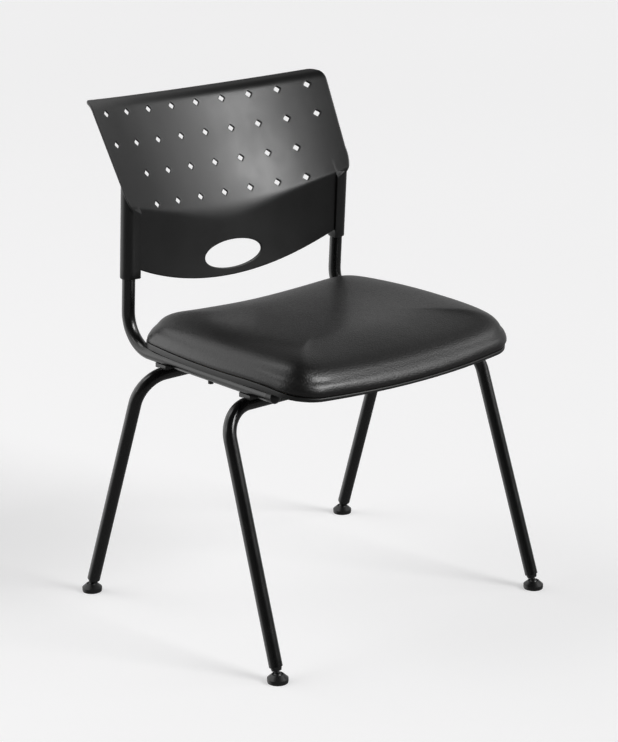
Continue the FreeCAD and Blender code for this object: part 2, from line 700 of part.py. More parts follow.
def ahead_block(side):
    """Space ahead of a plane sunk a little into the upper panel's face at a sleeve."""
    middle = size("rail_offset")
    inner, high = upper_line(middle - size("tube_diameter") / 2)
    outer = upper_line(middle + size("tube_diameter") / 2)[0]
    across = Vector(SIDES[side] * size("tube_diameter"), outer.y - inner.y, 0)
    forward = across.cross(high - inner) * SIDES[side]
    forward.normalize()
    block = Part.makeBox(FAR, FAR, FAR, Vector(-FAR / 2, -FAR / 2, -size("sleeve_sink")))
    spot = upper_line(middle)[0] + Vector(SIDES[side] * middle, 0, 0)
    block.Placement = place(spot, Rotation(Z_AXIS, forward))
    return block


def sleeve_bore(side):
    """Blind hole for the upright."""
    start = size("sleeve_bottom") - size("tube_diameter")
    bore = Part.makeCylinder(
        size("tube_diameter") / 2 + size("sleeve_gap"),
        (size("upright_top") - start) / math.cos(math.radians(size("upright_lean"))) + size("sleeve_gap"),
    )
    bore.Placement = upright_frame(side, start)
    return bore


def back_screw_cut(side):
    """Clearance and head recess for a backrest screw, drilled from the rear."""
    shank = Part.makeCylinder(size("back_screw_shank") / 2 + size("shank_gap"), size("sleeve_radius") * 2)
    recess = Part.makeCylinder(size("back_screw_head") / 2 + size("back_screw_room"), size("sleeve_radius"))
    recess.translate(Vector(0, 0, size("sleeve_radius") - size("back_screw_recess")))
    tool = shank.fuse(recess)
    height = size("back_screw_height")
    spot = Vector(SIDES[side] * size("rail_offset"), upright_y(height), height)
    tool.Placement = place(spot, Rotation(X_AXIS, -90))
    return tool


def hole_rows():
    """Centres of the holes as (across, slope) pairs: nine, nine, seven and seven."""
    centres = []
    for row, half_count in enumerate((4, 4, 3, 3)):
        for step in range(-half_count, half_count + 1):
            across = step * size("hole_pitch")
            centres.append((across, size("top_row") - row * size("hole_pitch") - droop(across)))
    return centres


def diamond():
    """A rounded square standing on its corner, pushed through the wall."""
    side = size("hole_side")
    deep = size("lip_radius") * 4
    blank = Part.makeBox(side, side, deep, Vector(-side / 2, -side / 2, -deep / 2))
    uprights = [edge for edge in blank.Edges if abs(edge.tangentAt(0).z) > 0.5]
    blank = blank.makeFillet(size("hole_corner"), uprights)
    blank.rotate(Vector(), Z_AXIS, 45)
    return blank


def diamonds():
    """Every hole, square to the upper panel on the middle plane."""
    up = slope_up()
    square_on = Rotation(X_AXIS, up, Vector(0, -up.z, up.y), "XYZ")
    tools = []
    for across, slope in hole_rows():
        low, high = upper_line(across)
        direction = (high - low).normalize()
        spot = low + direction * ((slope - low.dot(up)) / direction.dot(up))
        tool = diamond()
        tool.Placement = place(Vector(across, spot.y, spot.z), square_on).multiply(tool.Placement)
        tools.append(tool)
    return tools


def hand_hole():
    """Oval through the lower panel."""
    oval = Part.Ellipse(Vector(), size("grip_width") / 2, size("grip_rise") / 2).toShape()
    tool = Part.Face(Part.Wire([oval])).extrude(Vector(0, 0, FAR))
    tool.Placement = place(Vector(0, 0, size("grip_height")), Rotation(X_AXIS, -90))
    return tool


def backrest_shell():
    """One moulding: a scooped panel, a lower apron with a hand hole, and two sleeves."""
    wall = Part.makeLoft([shell_station(across) for across in stations()], True, False)
    shell = wall.common(shell_outline().extrude(Vector(0, FAR, 0)))
    for side in SIDES:
        shell = shell.fuse(sleeve_blank(side).cut(ahead_block(side)))
    for side in SIDES:
        shell = shell.cut(sleeve_bore(side).fuse(back_screw_cut(side)))
    shell = shell.cut(hand_hole()).cut(diamonds())
    subpart("backrest_shell", feature(shell))


def back_screw(side):
    """Screw through a sleeve's rear wall into the upright."""
    seat = place(Vector(0, 0, size("sleeve_radius") - size("back_screw_recess")))
    head = cylinder("@back_screw_head / 2", "@back_screw_shank / 2", seat)
    shank_foot = place(Vector(0, 0, size("tube_diameter") / 4))
    length = "@sleeve_radius - @back_screw_recess - @tube_diameter / 4"
    shank = cylinder("@back_screw_shank / 2", length, shank_foot)
    height = size("back_screw_height")
    spot = Vector(SIDES[side] * size("rail_offset"), upright_y(height), height)
    subpart(side + "_backrest_screw", fuse(head, shank), place(spot, Rotation(X_AXIS, -90)))


# ---------------------------------------------------------------- seat
def seam(offset):
    """A surface of the cushion, by its height over the seam."""
    return offset, size("dip_radius")


def tray(offset):
    """A surface of the pan or the board, by its height over the level part of the seam."""
    return offset, size("tray_dip_radius")


def side_line(surface, start, finish):
    """Side view of a surface of the seat: tail, level part and fall."""
    offset, dip_radius = surface
    tail = size("tail_start")
    dip = size("dip_start")

    def point(along):
        drop = 0
        if along > tail:
            drop = (along - tail) ** 2 / (2 * size("tail_radius"))
        if along < dip:
            drop = (along - dip) ** 2 / (2 * dip_radius)
        return Vector(0, along, size("seat_line") + offset - drop)

    return [
        Part.Arc(point(start), point((start + tail) / 2), point(tail)).toShape(),
        Part.makeLine(point(tail), point(dip)),
        Part.Arc(point(dip), point((dip + finish) / 2), point(finish)).toShape(),
    ]


def ribbon(low, high):
    """Solid between two surfaces of the seat, as wide as anything."""
    start = size("seat_back") + size("pan_rim")
    finish = size("seat_front") - size("pan_rim")
    upper = side_line(high, start, finish)
    lower = side_line(low, start, finish)
    rear = Part.makeLine(lower[0].firstVertex().Point, upper[0].firstVertex().Point)
    front = Part.makeLine(upper[-1].lastVertex().Point, lower[-1].lastVertex().Point)
    wire = Part.Wire(Part.__sortEdges__(upper + [front] + lower[::-1] + [rear]))
    wire.translate(Vector(-FAR / 2, 0, 0))
    return Part.Face(wire).extrude(Vector(FAR, 0, 0))


def circle_through(first, second, third):
    circle = Part.Circle(first, second, third)
    return circle.Center, circle.Radius


def seat_plan(inset):
    """Prism of the seat's outline, moved in by an inset."""
    low = size("seat_line") - 2 * PAST
    tall = 4 * PAST
    back = size("seat_back") - inset
    prism = Part.makeBox(FAR, FAR, tall, Vector(-FAR / 2, back - FAR, low))
    rear_corner = size("seat_back") - size("seat_back_corner")
    front_corner = size("seat_front") + size("seat_front_corner")
    middle = (rear_corner + front_corner) / 2
    centre, radius = circle_through(
        Vector(size("seat_back_half"), rear_corner, 0),
        Vector(size("seat_middle_half"), middle, 0),
        Vector(size("seat_front_half"), front_corner, 0),
    )
    for flip in (1, -1):
        side = Part.makeCylinder(radius - inset, tall, Vector(flip * centre.x, centre.y, low))
        prism = prism.common(side)
    half = size("seat_front_half")
    bowed = Vector(half, size("seat_front") + size("seat_bow"), 0)
    centre, radius = circle_through(bowed, Vector(0, size("seat_front"), 0), Vector(-bowed.x, bowed.y, 0))
    prism = prism.common(Part.makeCylinder(radius - inset, tall, Vector(0, centre.y, low)))
    uprights = [edge for edge in prism.Edges if abs(edge.tangentAt(edge.FirstParameter).z) > 0.9]
    rear = [edge for edge in uprights if edge.CenterOfMass.y > 0]
    front = [edge for edge in uprights if edge.CenterOfMass.y < 0]
    prism = prism.makeFillet(size("seat_back_corner") - inset, rear)
    front = [edge for edge in prism.Edges if any(
        (edge.CenterOfMass - corner.CenterOfMass).Length < 1 for corner in front)]
    return prism.makeFillet(size("seat_front_corner") - inset, front)


def seat_layer(inset, low, high):
    """A layer of the seat that follows both the outline and the side view."""
    return seat_plan(inset).common(ribbon(low, high))


def rail_space():
    """Room for the side tubes and their plugs, with a clearance, where they pass the seat."""
    outline = [piece.toShape() for piece in rail_path()]
    front = size("rail_front") - size("plug_visible") - size("rail_clearance")
    start = Vector(front, size("rail_height"), 0)
    plug = Part.makeLine(start, outline[0].firstVertex().Point)
    path = Part.Wire([plug] + outline)
    radius = size("tube_diameter") / 2 + size("rail_clearance")
    section = Part.Wire([Part.makeCircle(radius, start, X_AXIS)])
    spaces = []
    for side in SIDES.values():
        space = path.makePipeShell([section], True, False)
        offset = Vector(side * size("rail_offset"), 0, 0)
        space.Placement = place(offset, Rotation(Y_AXIS, Z_AXIS, X_AXIS, "ZXY"))
        spaces.append(space)
    return Part.makeCompound(spaces)


def cushion(inset, low, high, rounding):
    """A layer over the seam whose top edge is rounded over."""
    layer = seat_layer(inset, seam(low), seam(high))
    top = size("seat_line") + (low + high) / 2
    rim = [edge for edge in layer.Edges if edge.CenterOfMass.z > top and on_rim(layer, edge)]
    return layer.makeFillet(rounding, rim)


def on_rim(layer, edge):
    """True where an edge joins an upright face to the top."""
    faces = layer.ancestorsOfType(edge, Part.Face)
    upright = [abs(face.normalAt(*face.Surface.parameter(edge.CenterOfMass)).z) < 0.05 for face in faces]
    return sum(upright) == 1


def seat_screw_spots():
    """Where the seat screws pass, by name."""
    spots = {}
    for end in ("front", "back"):
        for side in SIDES:
            label = ("front_" if end == "front" else "rear_") + side
            spots[label] = Vector(SIDES[side] * size("rail_offset"), size("seat_screw_" + end), 0)
    return spots


def rods(radius, low, high, spots):
    """Upright cylinders at several spots, as one compound."""
    return Part.makeCompound([
        Part.makeCylinder(radius, high - low, Vector(spot.x, spot.y, low)) for spot in spots
    ])


def board_low():
    """Underside of the board from the seam, on the tucked cover."""
    return pan_inside() + size("cover_thickness") + 2 * size("layer_gap")


def board_high():
    return board_low() + size("board_thickness")


def pan_screw_spots():
    spots = []
    for along in ("back", "front"):
        for side in SIDES.values():
            spots.append(Vector(side * size("pan_screw_half"), size("pan_screw_" + along), 0))
    return spots


def seat_height(along, surface):
    """Height of a surface of the seat, on one line across."""
    line = Part.Wire(side_line(surface, size("seat_back"), size("seat_front")))
    probe = Part.makeLine(Vector(0, along, 0), Vector(0, along, FAR))
    return line.distToShape(probe)[1][0][0].z


def seat_holes(radius, spots, top=PAST):
    """Drills through the seat from below, up to a height above the seam line."""
    line = size("seat_line")
    return rods(radius, line - PAST, line + top, spots)


def cover_edge():
    """From the outline to the board's edge: the pan's wall, the cover and their gaps."""
    return size("pan_wall") + size("cover_gap") + size("cover_thickness") + size("layer_gap")


def pan_inside():
    """Top of the pan's floor from the seam."""
    return size("pan_wall") - size("pan_floor")


def seat_pan(bends, screws):
    """Moulded tray under the cushion: a floor on the rails and a rim."""
    wall = size("pan_wall")
    pan = seat_layer(0, tray(-size("pan_rim")), seam(0))
    inside = seat_layer(wall, tray(pan_inside()), tray(PAST))
    under = seat_layer(wall, tray(-PAST), tray(-size("pan_floor")))
    pan = pan.cut([inside, under])
    pan = pan.cut(bends)
    pan = pan.cut(seat_holes(size("seat_screw_shank") / 2 + size("shank_gap"), screws))
    pan = pan.cut(seat_holes(size("pan_screw_shank") / 2 + size("shank_gap"), pan_screw_spots()))
    subpart("seat_pan", feature(pan))


def seat_board(bends, screws):
    """Plywood board with holes for the tee nuts and pilots for the pan screws."""
    board = seat_layer(cover_edge(), tray(board_low()), tray(board_high())).cut(bends)
    board = board.cut(seat_holes(size("tee_nut_barrel") / 2 + size("press_gap"), screws))
    pilot_top = size("pan_screw_length") - size("pan_floor")
    pilots = seat_holes(size("pan_screw_shank") / 2 + size("press_gap"), pan_screw_spots(), pilot_top)
    subpart("seat_board", feature(board.cut(pilots)))


def cushion_block(skin):
    """The cushion down to the seam, less a skin on every side."""
    inset = size("cover_gap") + skin
    low = size("cushion_seam") + skin
    return cushion(inset, low, size("cushion_height") - skin, size("cushion_round") - skin)


def seat_foam(bends, screws):
    """Foam block on the board, with room for the tee nuts' flanges."""
    flanges = Part.makeCompound([nut_flange(spot) for spot in screws])
    block = cushion_block(size("cover_thickness") + size("layer_gap"))
    foam = block.cut(seat_layer(0, tray(-PAST), tray(board_high() + size("layer_gap"))))
    subpart("seat_foam", feature(foam.cut(bends).cut(flanges)))


def seat_cover(bends, screws):
    """Upholstery over the foam, down the board's edge and turned in under it."""
    outer = size("pan_wall") + size("cover_gap")
    gap = size("layer_gap")
    inner = cover_edge() - gap
    shoulder = size("cushion_seam") + size("cover_thickness")
    sides = seat_layer(outer, tray(pan_inside() + gap), seam(shoulder))
    tuck_top = board_low() - gap
    opening = seat_layer(outer + size("cover_tuck"), tray(-PAST), tray(tuck_top))
    filling = cushion_block(size("cover_thickness"))
    hollow = seat_layer(inner, tray(tuck_top), seam(shoulder + gap))
    cover = cushion_block(0).fuse(sides).cut([filling, hollow, opening])
    cover = cover.cut(seat_holes(size("seat_screw_shank") / 2 + size("shank_gap"), screws, tuck_top))
    subpart("seat_cover", feature(cover.cut(bends).removeSplitter()))


def nut_flange(spot):
    """Room in the foam for a tee nut's flange on the board."""
    top = seat_height(spot.y, tray(board_high()))
    return Part.makeCylinder(size("tee_nut_flange") / 2, size("tee_nut_sheet"), Vector(spot.x, spot.y, top))


def tee_nut(name, spot):
    """Flange on the board and a threaded barrel through it."""
    top = seat_height(spot.y, tray(board_high()))
    thick = size("board_thickness")
    flange = cylinder("@tee_nut_flange / 2", "@tee_nut_sheet", place(Vector(0, 0, top)))
    barrel = cylinder("@tee_nut_barrel / 2", "@board_thickness", place(Vector(0, 0, top - thick)))
    bore = cylinder("@seat_screw_shank / 2", "@board_thickness * 4", place(Vector(0, 0, top - 2 * thick)))
    subpart(name + "_tee_nut", cut(fuse(flange, barrel), bore), place(spot))


def washer_top():
    """Height at which a flat washer touches the upper wall of a rail's bore."""
    bore = size("tube_diameter") / 2 - size("tube_wall")
    return size("rail_height") + math.sqrt(bore ** 2 - (size("washer_diameter") / 2) ** 2)


def seat_screw(name, spot):
    """Screw from inside the rail, through the pan, into the tee nut."""
    seat = washer_top() - size("washer_thickness")
    head_foot = place(Vector(0, 0, seat - size("seat_screw_head_height")))
    head = cylinder("@seat_screw_head / 2", "@seat_screw_head_height", head_foot)
    top = seat_height(spot.y, tray(board_high()))
    shank = cylinder("@seat_screw_shank / 2", str(top - seat), place(Vector(0, 0, seat)))
    subpart(name + "_seat_screw", fuse(head, shank), place(spot))


def washer(name, spot):
    low = place(Vector(0, 0, washer_top() - size("washer_thickness")))
    disc = cylinder("@washer_diameter / 2", "@washer_thickness", low)
    hole = cylinder("@seat_screw_shank / 2 + @shank_gap", "@washer_thickness", low)
    subpart(name + "_washer", cut(disc, hole), place(spot))


def pan_screws():
    """Short screws that hold the pan to the board, as one group."""
    solids = []
    for spot in pan_screw_spots():
        under = Vector(spot.x, spot.y, seat_height(spot.y, tray(-size("pan_floor"))))
        head_height = size("pan_screw_shank") / 2
        head = Part.makeCylinder(size("pan_screw_head") / 2, head_height, under - Z_AXIS * head_height)
        shank = Part.makeCylinder(size("pan_screw_shank") / 2, size("pan_screw_length"), under)
        solids.append(head.fuse(shank).removeSplitter())
    subpart("pan_screws", feature(Part.makeCompound(solids)))


def seat():
    """Pan, board, foam and cover, each fitted to the next, and their fasteners."""
    bends = rail_space()
    spots = seat_screw_spots()
    screws = list(spots.values())
    seat_pan(bends, screws)
    seat_board(bends, screws)
    seat_foam(bends, screws)
    seat_cover(bends, screws)
    for name, spot in spots.items():
        tee_nut(name, spot)
        seat_screw(name, spot)
        washer(name, spot)
    pan_screws()


# ---------------------------------------------------------------- build and write
def build():
    for side in SIDES:
        side_tube(side)
        rail_plug(side)
        stack_buffer(side)
        back_screw(side)
    for end in ENDS:
        leg_hoop(end)
        for side in SIDES:
            saddle(end, side)
            foot_insert(end, side)
            foot_liner(end, side)
            foot_cap(end, side)
            foot_sole(end, side)
    backrest_shell()
    seat()
    doc.recompute()


def check():
    """Stop on any failed object or unusable shape."""
    for item in doc.Objects:
        if "Invalid" in item.State or "Error" in item.State:
            raise RuntimeError(f"{item.Name} failed: {item.State}")
    for piece in subparts:
        if piece.Shape.isNull() or not piece.Shape.isValid() or piece.Shape.Volume <= 0:
            raise RuntimeError(f"{piece.Label} has no usable shape")


def write():
    os.makedirs("parts", exist_ok=True)
    for piece in subparts:
        piece.Shape.exportStep(f"parts/{piece.Label}.step")
        print(f"{piece.Label}: {piece.Shape.Volume / 1000:.2f} cm3, {len(piece.Shape.Solids)} solid(s)")
    print(f"moved along Y by {frame_shift():.4f} mm")


build()
check()
write()
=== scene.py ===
"""Finish and detail of a stacking chair, made round its engineering model.

Drawing sizes are in millimetres from the middle of the four feet: +Z up, the chair faces -Y,
and +X is the sitter's left. `placed` takes a drawing point to metres in the chair's own frame.
"""

import json
import math

import bmesh
import bpy
from mathutils import Matrix, Vector, kdtree
from mathutils.geometry import delaunay_2d_cdt


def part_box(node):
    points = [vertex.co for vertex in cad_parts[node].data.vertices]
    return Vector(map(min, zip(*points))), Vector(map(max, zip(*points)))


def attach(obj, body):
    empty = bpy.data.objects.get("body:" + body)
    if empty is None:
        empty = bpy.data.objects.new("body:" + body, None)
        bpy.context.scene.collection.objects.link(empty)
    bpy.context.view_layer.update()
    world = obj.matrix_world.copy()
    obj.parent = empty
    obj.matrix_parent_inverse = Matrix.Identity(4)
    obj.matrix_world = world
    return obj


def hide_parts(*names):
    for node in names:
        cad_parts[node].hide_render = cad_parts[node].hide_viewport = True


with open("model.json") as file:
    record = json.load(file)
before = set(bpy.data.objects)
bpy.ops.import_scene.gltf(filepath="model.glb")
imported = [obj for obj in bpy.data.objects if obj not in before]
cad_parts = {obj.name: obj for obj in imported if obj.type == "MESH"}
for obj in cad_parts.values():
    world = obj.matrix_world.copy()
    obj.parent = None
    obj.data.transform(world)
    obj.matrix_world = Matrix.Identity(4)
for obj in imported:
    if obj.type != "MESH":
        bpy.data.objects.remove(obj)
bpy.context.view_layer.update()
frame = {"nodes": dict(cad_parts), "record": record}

MM = 0.001
SIDES = {"left": 1, "right": -1}
ENDS = {"front": -1, "rear": 1}
FEET_MIDDLE = sum(corner.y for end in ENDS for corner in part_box(end + "_left_foot_cap")) / 4 / MM

# tube frame
TUBE = 10.0
RAIL_X = 209.2
RAIL_Z = 398.2
RAIL_FRONT = -148.0
RAIL_BEND = 52.5
RAIL_CLEARANCE = 0.5
PLUG_REACH = 16.5
UPRIGHT_BASE = 187.6
UPRIGHT_LEAN = math.radians(3.34)
UPRIGHT_TOP = 611.0
# backrest
WALL = 4.0
UPPER_PLANS = ((620.0, 447.0), (765.0, 500.0))  # height, radius of the upper panel's plan
UPPER_MIDDLE = (207.2, 602.5)  # place, height
LOWER_MIDDLES = ((460.0, 184.0), (620.0, 199.0))  # height, place of the lower panel's middle
FOLD_RADIUS = 9.0
FOLD_SOFTENING = 86.0
FOLD_SPREAD = 95.0
LIP_DROOP = 8.0
SHELL_HALF = 232.0
SHELL_CORNER = 14.0
WING_LOW = Vector((223.2, 650.0))
WING_FOOT = Vector((207.0, 601.0))
WING_BELLY = 0.1
SKIRT_HALF = 196.0
SKIRT_MIDDLE = 474.6
SKIRT_SIDE = 517.0
FLANK_HALF = 204.0
GRIP_WIDTH = 113.0
GRIP_HEIGHT = 43.0
GRIP_Z = 508.0
HOLE_WIDTH = 8.6
HOLE_ROUNDING = 1.6
HOLE_ROWS = (4, 4, 3, 3)  # holes on each side of the middle one
TOP_ROW_CLIMB = 779.0
LIP_RADIUS = 24.0
LIP_TURN = math.radians(48.0)
LIP_FLAT = 11.0
LIP_START = 784.0
SLOPE = 0.5236
HOLE_PITCH = 49.7
SLEEVE = 13.2
SLEEVE_BOTTOM = 505.0
SLEEVE_TOP = 670.0
FACE_CLEARANCE = 1.5
BORE_CLEARANCE = 0.15
SCREW_Z = 545.0
# seat
SEAM_Z = 417.5
SEAT_BACK = 173.8
SEAT_FRONT = -236.8
SEAT_BOW = 23.0
SEAT_BACK_HALF = 223.0
SEAT_MIDDLE_HALF = 232.0
SEAT_FRONT_HALF = 219.5
SEAT_BACK_CORNER = 75.0
SEAT_FRONT_CORNER = 57.0
DIP_START = -102.0
DIP_RADIUS = 540.0
TRAY_DIP_RADIUS = 760.0
TAIL_START = 90.0
TAIL_RADIUS = 720.0


# ---- finishes
class Wire:
    """A socket that takes part in sums."""

    def __init__(self, finish, socket):
        self.finish = finish
        self.socket = socket

    def maths(self, operation, *others):
        return self.finish.node("ShaderNodeMath", {"operation": operation}, *others)

    def __add__(self, other):
        return self.maths("ADD", self, other)

    def __sub__(self, other):
        return self.maths("SUBTRACT", self, other)

    def __mul__(self, other):
        return self.maths("MULTIPLY", self, other)

    __radd__ = __add__
    __rmul__ = __mul__


class Finish:
    """One procedural finish: a shader and the sums that vary it over the surface."""

    def __init__(self, name, holder=None, place="Object"):
        self.material = holder or bpy.data.materials.new(name)
        self.material.use_nodes = True
        self.tree = self.material.node_tree
        self.tree.nodes.clear()
        self.place = self.node("ShaderNodeTexCoord", {}, output=place)

    def node(self, kind, settings, *inputs, output=0, **named):
        """Add a node: its settings first, then its inputs by order or by name."""
        made = self.tree.nodes.new(kind)
        for key, value in settings.items():
            if key == "stops":
                self.set_stops(made.color_ramp, value)
            else:
                setattr(made, key, value)
        wanted = list(enumerate(inputs)) + [(key.replace("_", " "), value) for key, value in named.items()]
        for key, value in wanted:
            if isinstance(value, Wire):
                self.tree.links.new(value.socket, made.inputs[key])
            else:
                made.inputs[key].default_value = value
        return Wire(self, made.outputs[output])

    @staticmethod
    def set_stops(ramp, stops):
        while len(ramp.elements) < len(stops):
            ramp.elements.new(0.5)
        for element, (position, shade) in zip(ramp.elements, stops):
            element.position = position
            element.color = (shade, shade, shade, 1)

    def noise(self, scale, detail=2.0, roughness=0.5, place=None):
        return self.node("ShaderNodeTexNoise", {}, Vector=place or self.place, Scale=scale,
                         Detail=detail, Roughness=roughness)

    def ramp(self, value, *stops):
        return self.node("ShaderNodeValToRGB", {"stops": stops}, value)

    def stretched(self, *scales):
        return self.node("ShaderNodeVectorMath", {"operation": "MULTIPLY"}, self.place, scales)

    def mixed(self, share, first, second):
        """Blend of two colours."""
        made = self.tree.nodes.new("ShaderNodeMix")
        made.data_type = "RGBA"
        for key, value in ((0, share), (6, first), (7, second)):
            if isinstance(value, Wire):
                self.tree.links.new(value.socket, made.inputs[key])
            else:
                made.inputs[key].default_value = value
        return Wire(self, made.outputs[2])

    def bump(self, height, strength, distance, normal=None):
        extra = {"Normal": normal} if normal else {}
        return self.node("ShaderNodeBump", {}, Strength=strength, Distance=distance, Height=height, **extra)

    def finished(self, **sockets):
        shader = self.node("ShaderNodeBsdfPrincipled", {}, **sockets)
        out = self.tree.nodes.new("ShaderNodeOutputMaterial")
        self.tree.links.new(shader.socket, out.inputs[0])
        return self.material


def grey(level):
    return (level, level, level, 1)


def powder_coat():
    """Gloss black powder coat with a faint orange peel."""
    coat = Finish("gloss_black_powder_coat")
    peel = coat.noise(260, 2, 0.5)
    patches = coat.noise(22, 3, 0.6)
    dust = coat.ramp(coat.noise(700, 2, 0.6), (0.62, 0.0), (0.8, 1.0))
    return coat.finished(
        Base_Color=coat.mixed(dust * 0.2, grey(0.004), grey(0.012)),
        Specular_IOR_Level=0.5,
        Roughness=coat.ramp(patches, (0.3, 0.2), (0.7, 0.3)),
        Normal=coat.bump(peel, 0.08, 0.0004),
        Coat_Weight=0.35,
        Coat_Roughness=0.12,
    )


def moulded(name, level, rough, grain_scale, grain, marks=0.0):
    """Black moulded plastic with a fine even texture and soft uneven sheen."""
    plastic = Finish(name)
    texture = plastic.noise(grain_scale, 2, 0.6) + plastic.noise(grain_scale * 0.28, 2, 0.6) * 0.6
    patches = plastic.noise(9, 3, 0.55)
    streaks = plastic.noise(1.0, 2, 0.5, plastic.stretched(30, 30, 6))
    waves = plastic.noise(22, 2, 0.45)
    wear = plastic.ramp(plastic.noise(60, 4, 0.65), (0.55, 0.0), (0.75, 1.0))
    return plastic.finished(
        Base_Color=plastic.mixed(wear * 0.5, grey(level), grey(level * 1.5)),
        Roughness=plastic.ramp(patches, (0.3, rough - 0.04), (0.7, rough + 0.05)) + (streaks - 0.5) * marks,
        Normal=plastic.bump(waves, marks * 0.9, 0.002, normal=plastic.bump(texture, grain, 0.0003)),
        Specular_IOR_Level=0.6,
    )


def coated_upholstery():
    """Black coated upholstery: pebbled grain, stretch lines, faint creases and a satin sheen."""
    cover = Finish("black_coated_upholstery")
    cells = cover.node("ShaderNodeTexVoronoi", {"feature": "F1", "distance": "EUCLIDEAN"}, Vector=cover.place,
                       Scale=430, Randomness=1.0, output="Distance")
    fine = cover.noise(1300, 2, 0.6)
    stretch = cover.noise(1.0, 3, 0.6, cover.stretched(70, 210, 120))
    soft = cover.noise(16, 3, 0.5)
    folds = cover.noise(1.0, 4, 0.65, cover.stretched(24, 46, 30))
    crease = cover.ramp(folds, (0.47, 0.0), (0.5, 1.0), (0.53, 0.0))
    worn = cover.noise(5, 2, 0.5)
    grain = cover.bump(cells * 0.9 + fine * 0.35, 0.42, 0.0007)
    drawn = cover.bump(stretch + crease * 0.25, 0.2, 0.0012, normal=grain)
    return cover.finished(
        Base_Color=cover.mixed(soft, (0.004, 0.0038, 0.0037, 1), (0.007, 0.0067, 0.0065, 1)),
        Roughness=cover.ramp(worn, (0.3, 0.34), (0.7, 0.42)) + (cells - 0.4) * 0.14 + (stretch - 0.5) * 0.1,
        Normal=cover.bump(soft, 0.12, 0.004, normal=drawn),
        Specular_IOR_Level=0.5,
        Coat_Weight=0.22,
        Coat_Roughness=0.2,
    )


def zinc_plate():
    """Bright zinc plate with light and dull patches."""
    zinc = Finish("bright_zinc_plate")
    patches = zinc.noise(180, 3, 0.6)
    return zinc.finished(
        Base_Color=zinc.mixed(patches, (0.5, 0.51, 0.52, 1), (0.7, 0.7, 0.69, 1)),
        Metallic=1.0,
        Roughness=zinc.ramp(patches, (0.3, 0.28), (0.7, 0.42)),
        Normal=zinc.bump(zinc.noise(900, 2, 0.5), 0.1, 0.0002),
    )


def birch_plywood():
    """Raw birch plywood: thin plies on the edge, long grain on the faces."""
    wood = Finish("birch_plywood")
    plies = wood.node("ShaderNodeTexWave", {"wave_type": "BANDS", "bands_direction": "Z"}, Vector=wood.place,
                      Scale=120, Distortion=1.0, Detail=2.0)
    grain = wood.noise(1.0, 5, 0.6, wood.stretched(160, 9, 160))
    shade = wood.mixed(grain, (0.52, 0.36, 0.2, 1), (0.7, 0.53, 0.33, 1))
    return wood.finished(
        Base_Color=wood.mixed(plies * 0.35, shade, (0.36, 0.22, 0.11, 1)),
        Roughness=wood.ramp(grain, (0.3, 0.6), (0.7, 0.75)),
        Normal=wood.bump(grain, 0.2, 0.0005),
    )


def rubber():
    """Matt black rubber with a dusty bloom."""
    bloom = Finish("matt_black_rubber")
    dust = bloom.noise(120, 4, 0.6)
    return bloom.finished(
        Base_Color=bloom.mixed(dust, grey(0.008), grey(0.02)),
        Roughness=bloom.ramp(dust, (0.3, 0.7), (0.7, 0.85)),
        Normal=bloom.bump(bloom.noise(1100, 2, 0.5), 0.15, 0.0003),
    )


def black_zinc():
    """Black zinc screw steel, brighter where the driver has turned."""
    steel = Finish("black_zinc_steel")
    patches = steel.noise(420, 3, 0.6)
    return steel.finished(
        Base_Color=steel.mixed(patches, grey(0.015), grey(0.05)),
        Metallic=0.8,
        Roughness=steel.ramp(patches, (0.3, 0.34), (0.7, 0.5)),
        Normal=steel.bump(steel.noise(1400, 2, 0.5), 0.1, 0.0002),
    )


FINISHES = {
    "frame_paint": powder_coat(),
    "plug_plastic": moulded("plug_black_moulding", 0.006, 0.36, 1500, 0.08),
    "buffer_rubber": rubber(),
    "screw_steel": black_zinc(),
    "zinc_steel": zinc_plate(),
    "foot_plastic": moulded("foot_black_moulding", 0.006, 0.34, 1700, 0.06),
    "liner_plastic": moulded("dark_acetal", 0.03, 0.4, 1500, 0.04),
    "sole_plastic": moulded("sole_black_moulding", 0.012, 0.55, 1200, 0.2),
    "shell_plastic": moulded("fine_textured_black_moulding", 0.005, 0.37, 1900, 0.22, 0.1),
    "pan_plastic": moulded("tray_black_moulding", 0.006, 0.42, 1500, 0.15),
    "seat_board_wood": birch_plywood(),
    "seat_foam": rubber(),
    "seat_cover": coated_upholstery(),
}


# ---- mesh helpers
def placed(point):
    """A drawing point in metres, in the chair's frame."""
    return (Vector(point) + Vector((0, FEET_MIDDLE, 0))) * MM


def plan_of(point):
    """A mesh point's place on the drawing, seen from above."""
    return Vector((point.x / MM, point.y / MM - FEET_MIDDLE))


def smooth(obj, sharp_from):
    """Shade smooth, with sharp edges where faces meet at more than an angle in degrees."""
    mesh = obj.data
    mesh.shade_smooth()
    mesh.set_sharp_from_angle(angle=math.radians(sharp_from))


def new_object(name, mesh, slot):
    obj = bpy.data.objects.new(name, mesh)
    bpy.context.scene.collection.objects.link(obj)
    mesh.materials.append(FINISHES[slot])
    return obj


def piece(name, points, faces, slot):
    """A mesh object from drawing points, its faces turned outwards."""
    mesh = bpy.data.meshes.new(name)
    mesh.from_pydata([placed(point) for point in points], [], faces)
    shape = bmesh.new()
    shape.from_mesh(mesh)
    bmesh.ops.remove_doubles(shape, verts=shape.verts, dist=0.00001)
    bmesh.ops.recalc_face_normals(shape, faces=shape.faces)
    shape.to_mesh(mesh)
    shape.free()
    obj = new_object(name, mesh, slot)
    smooth(obj, 40)
    return obj


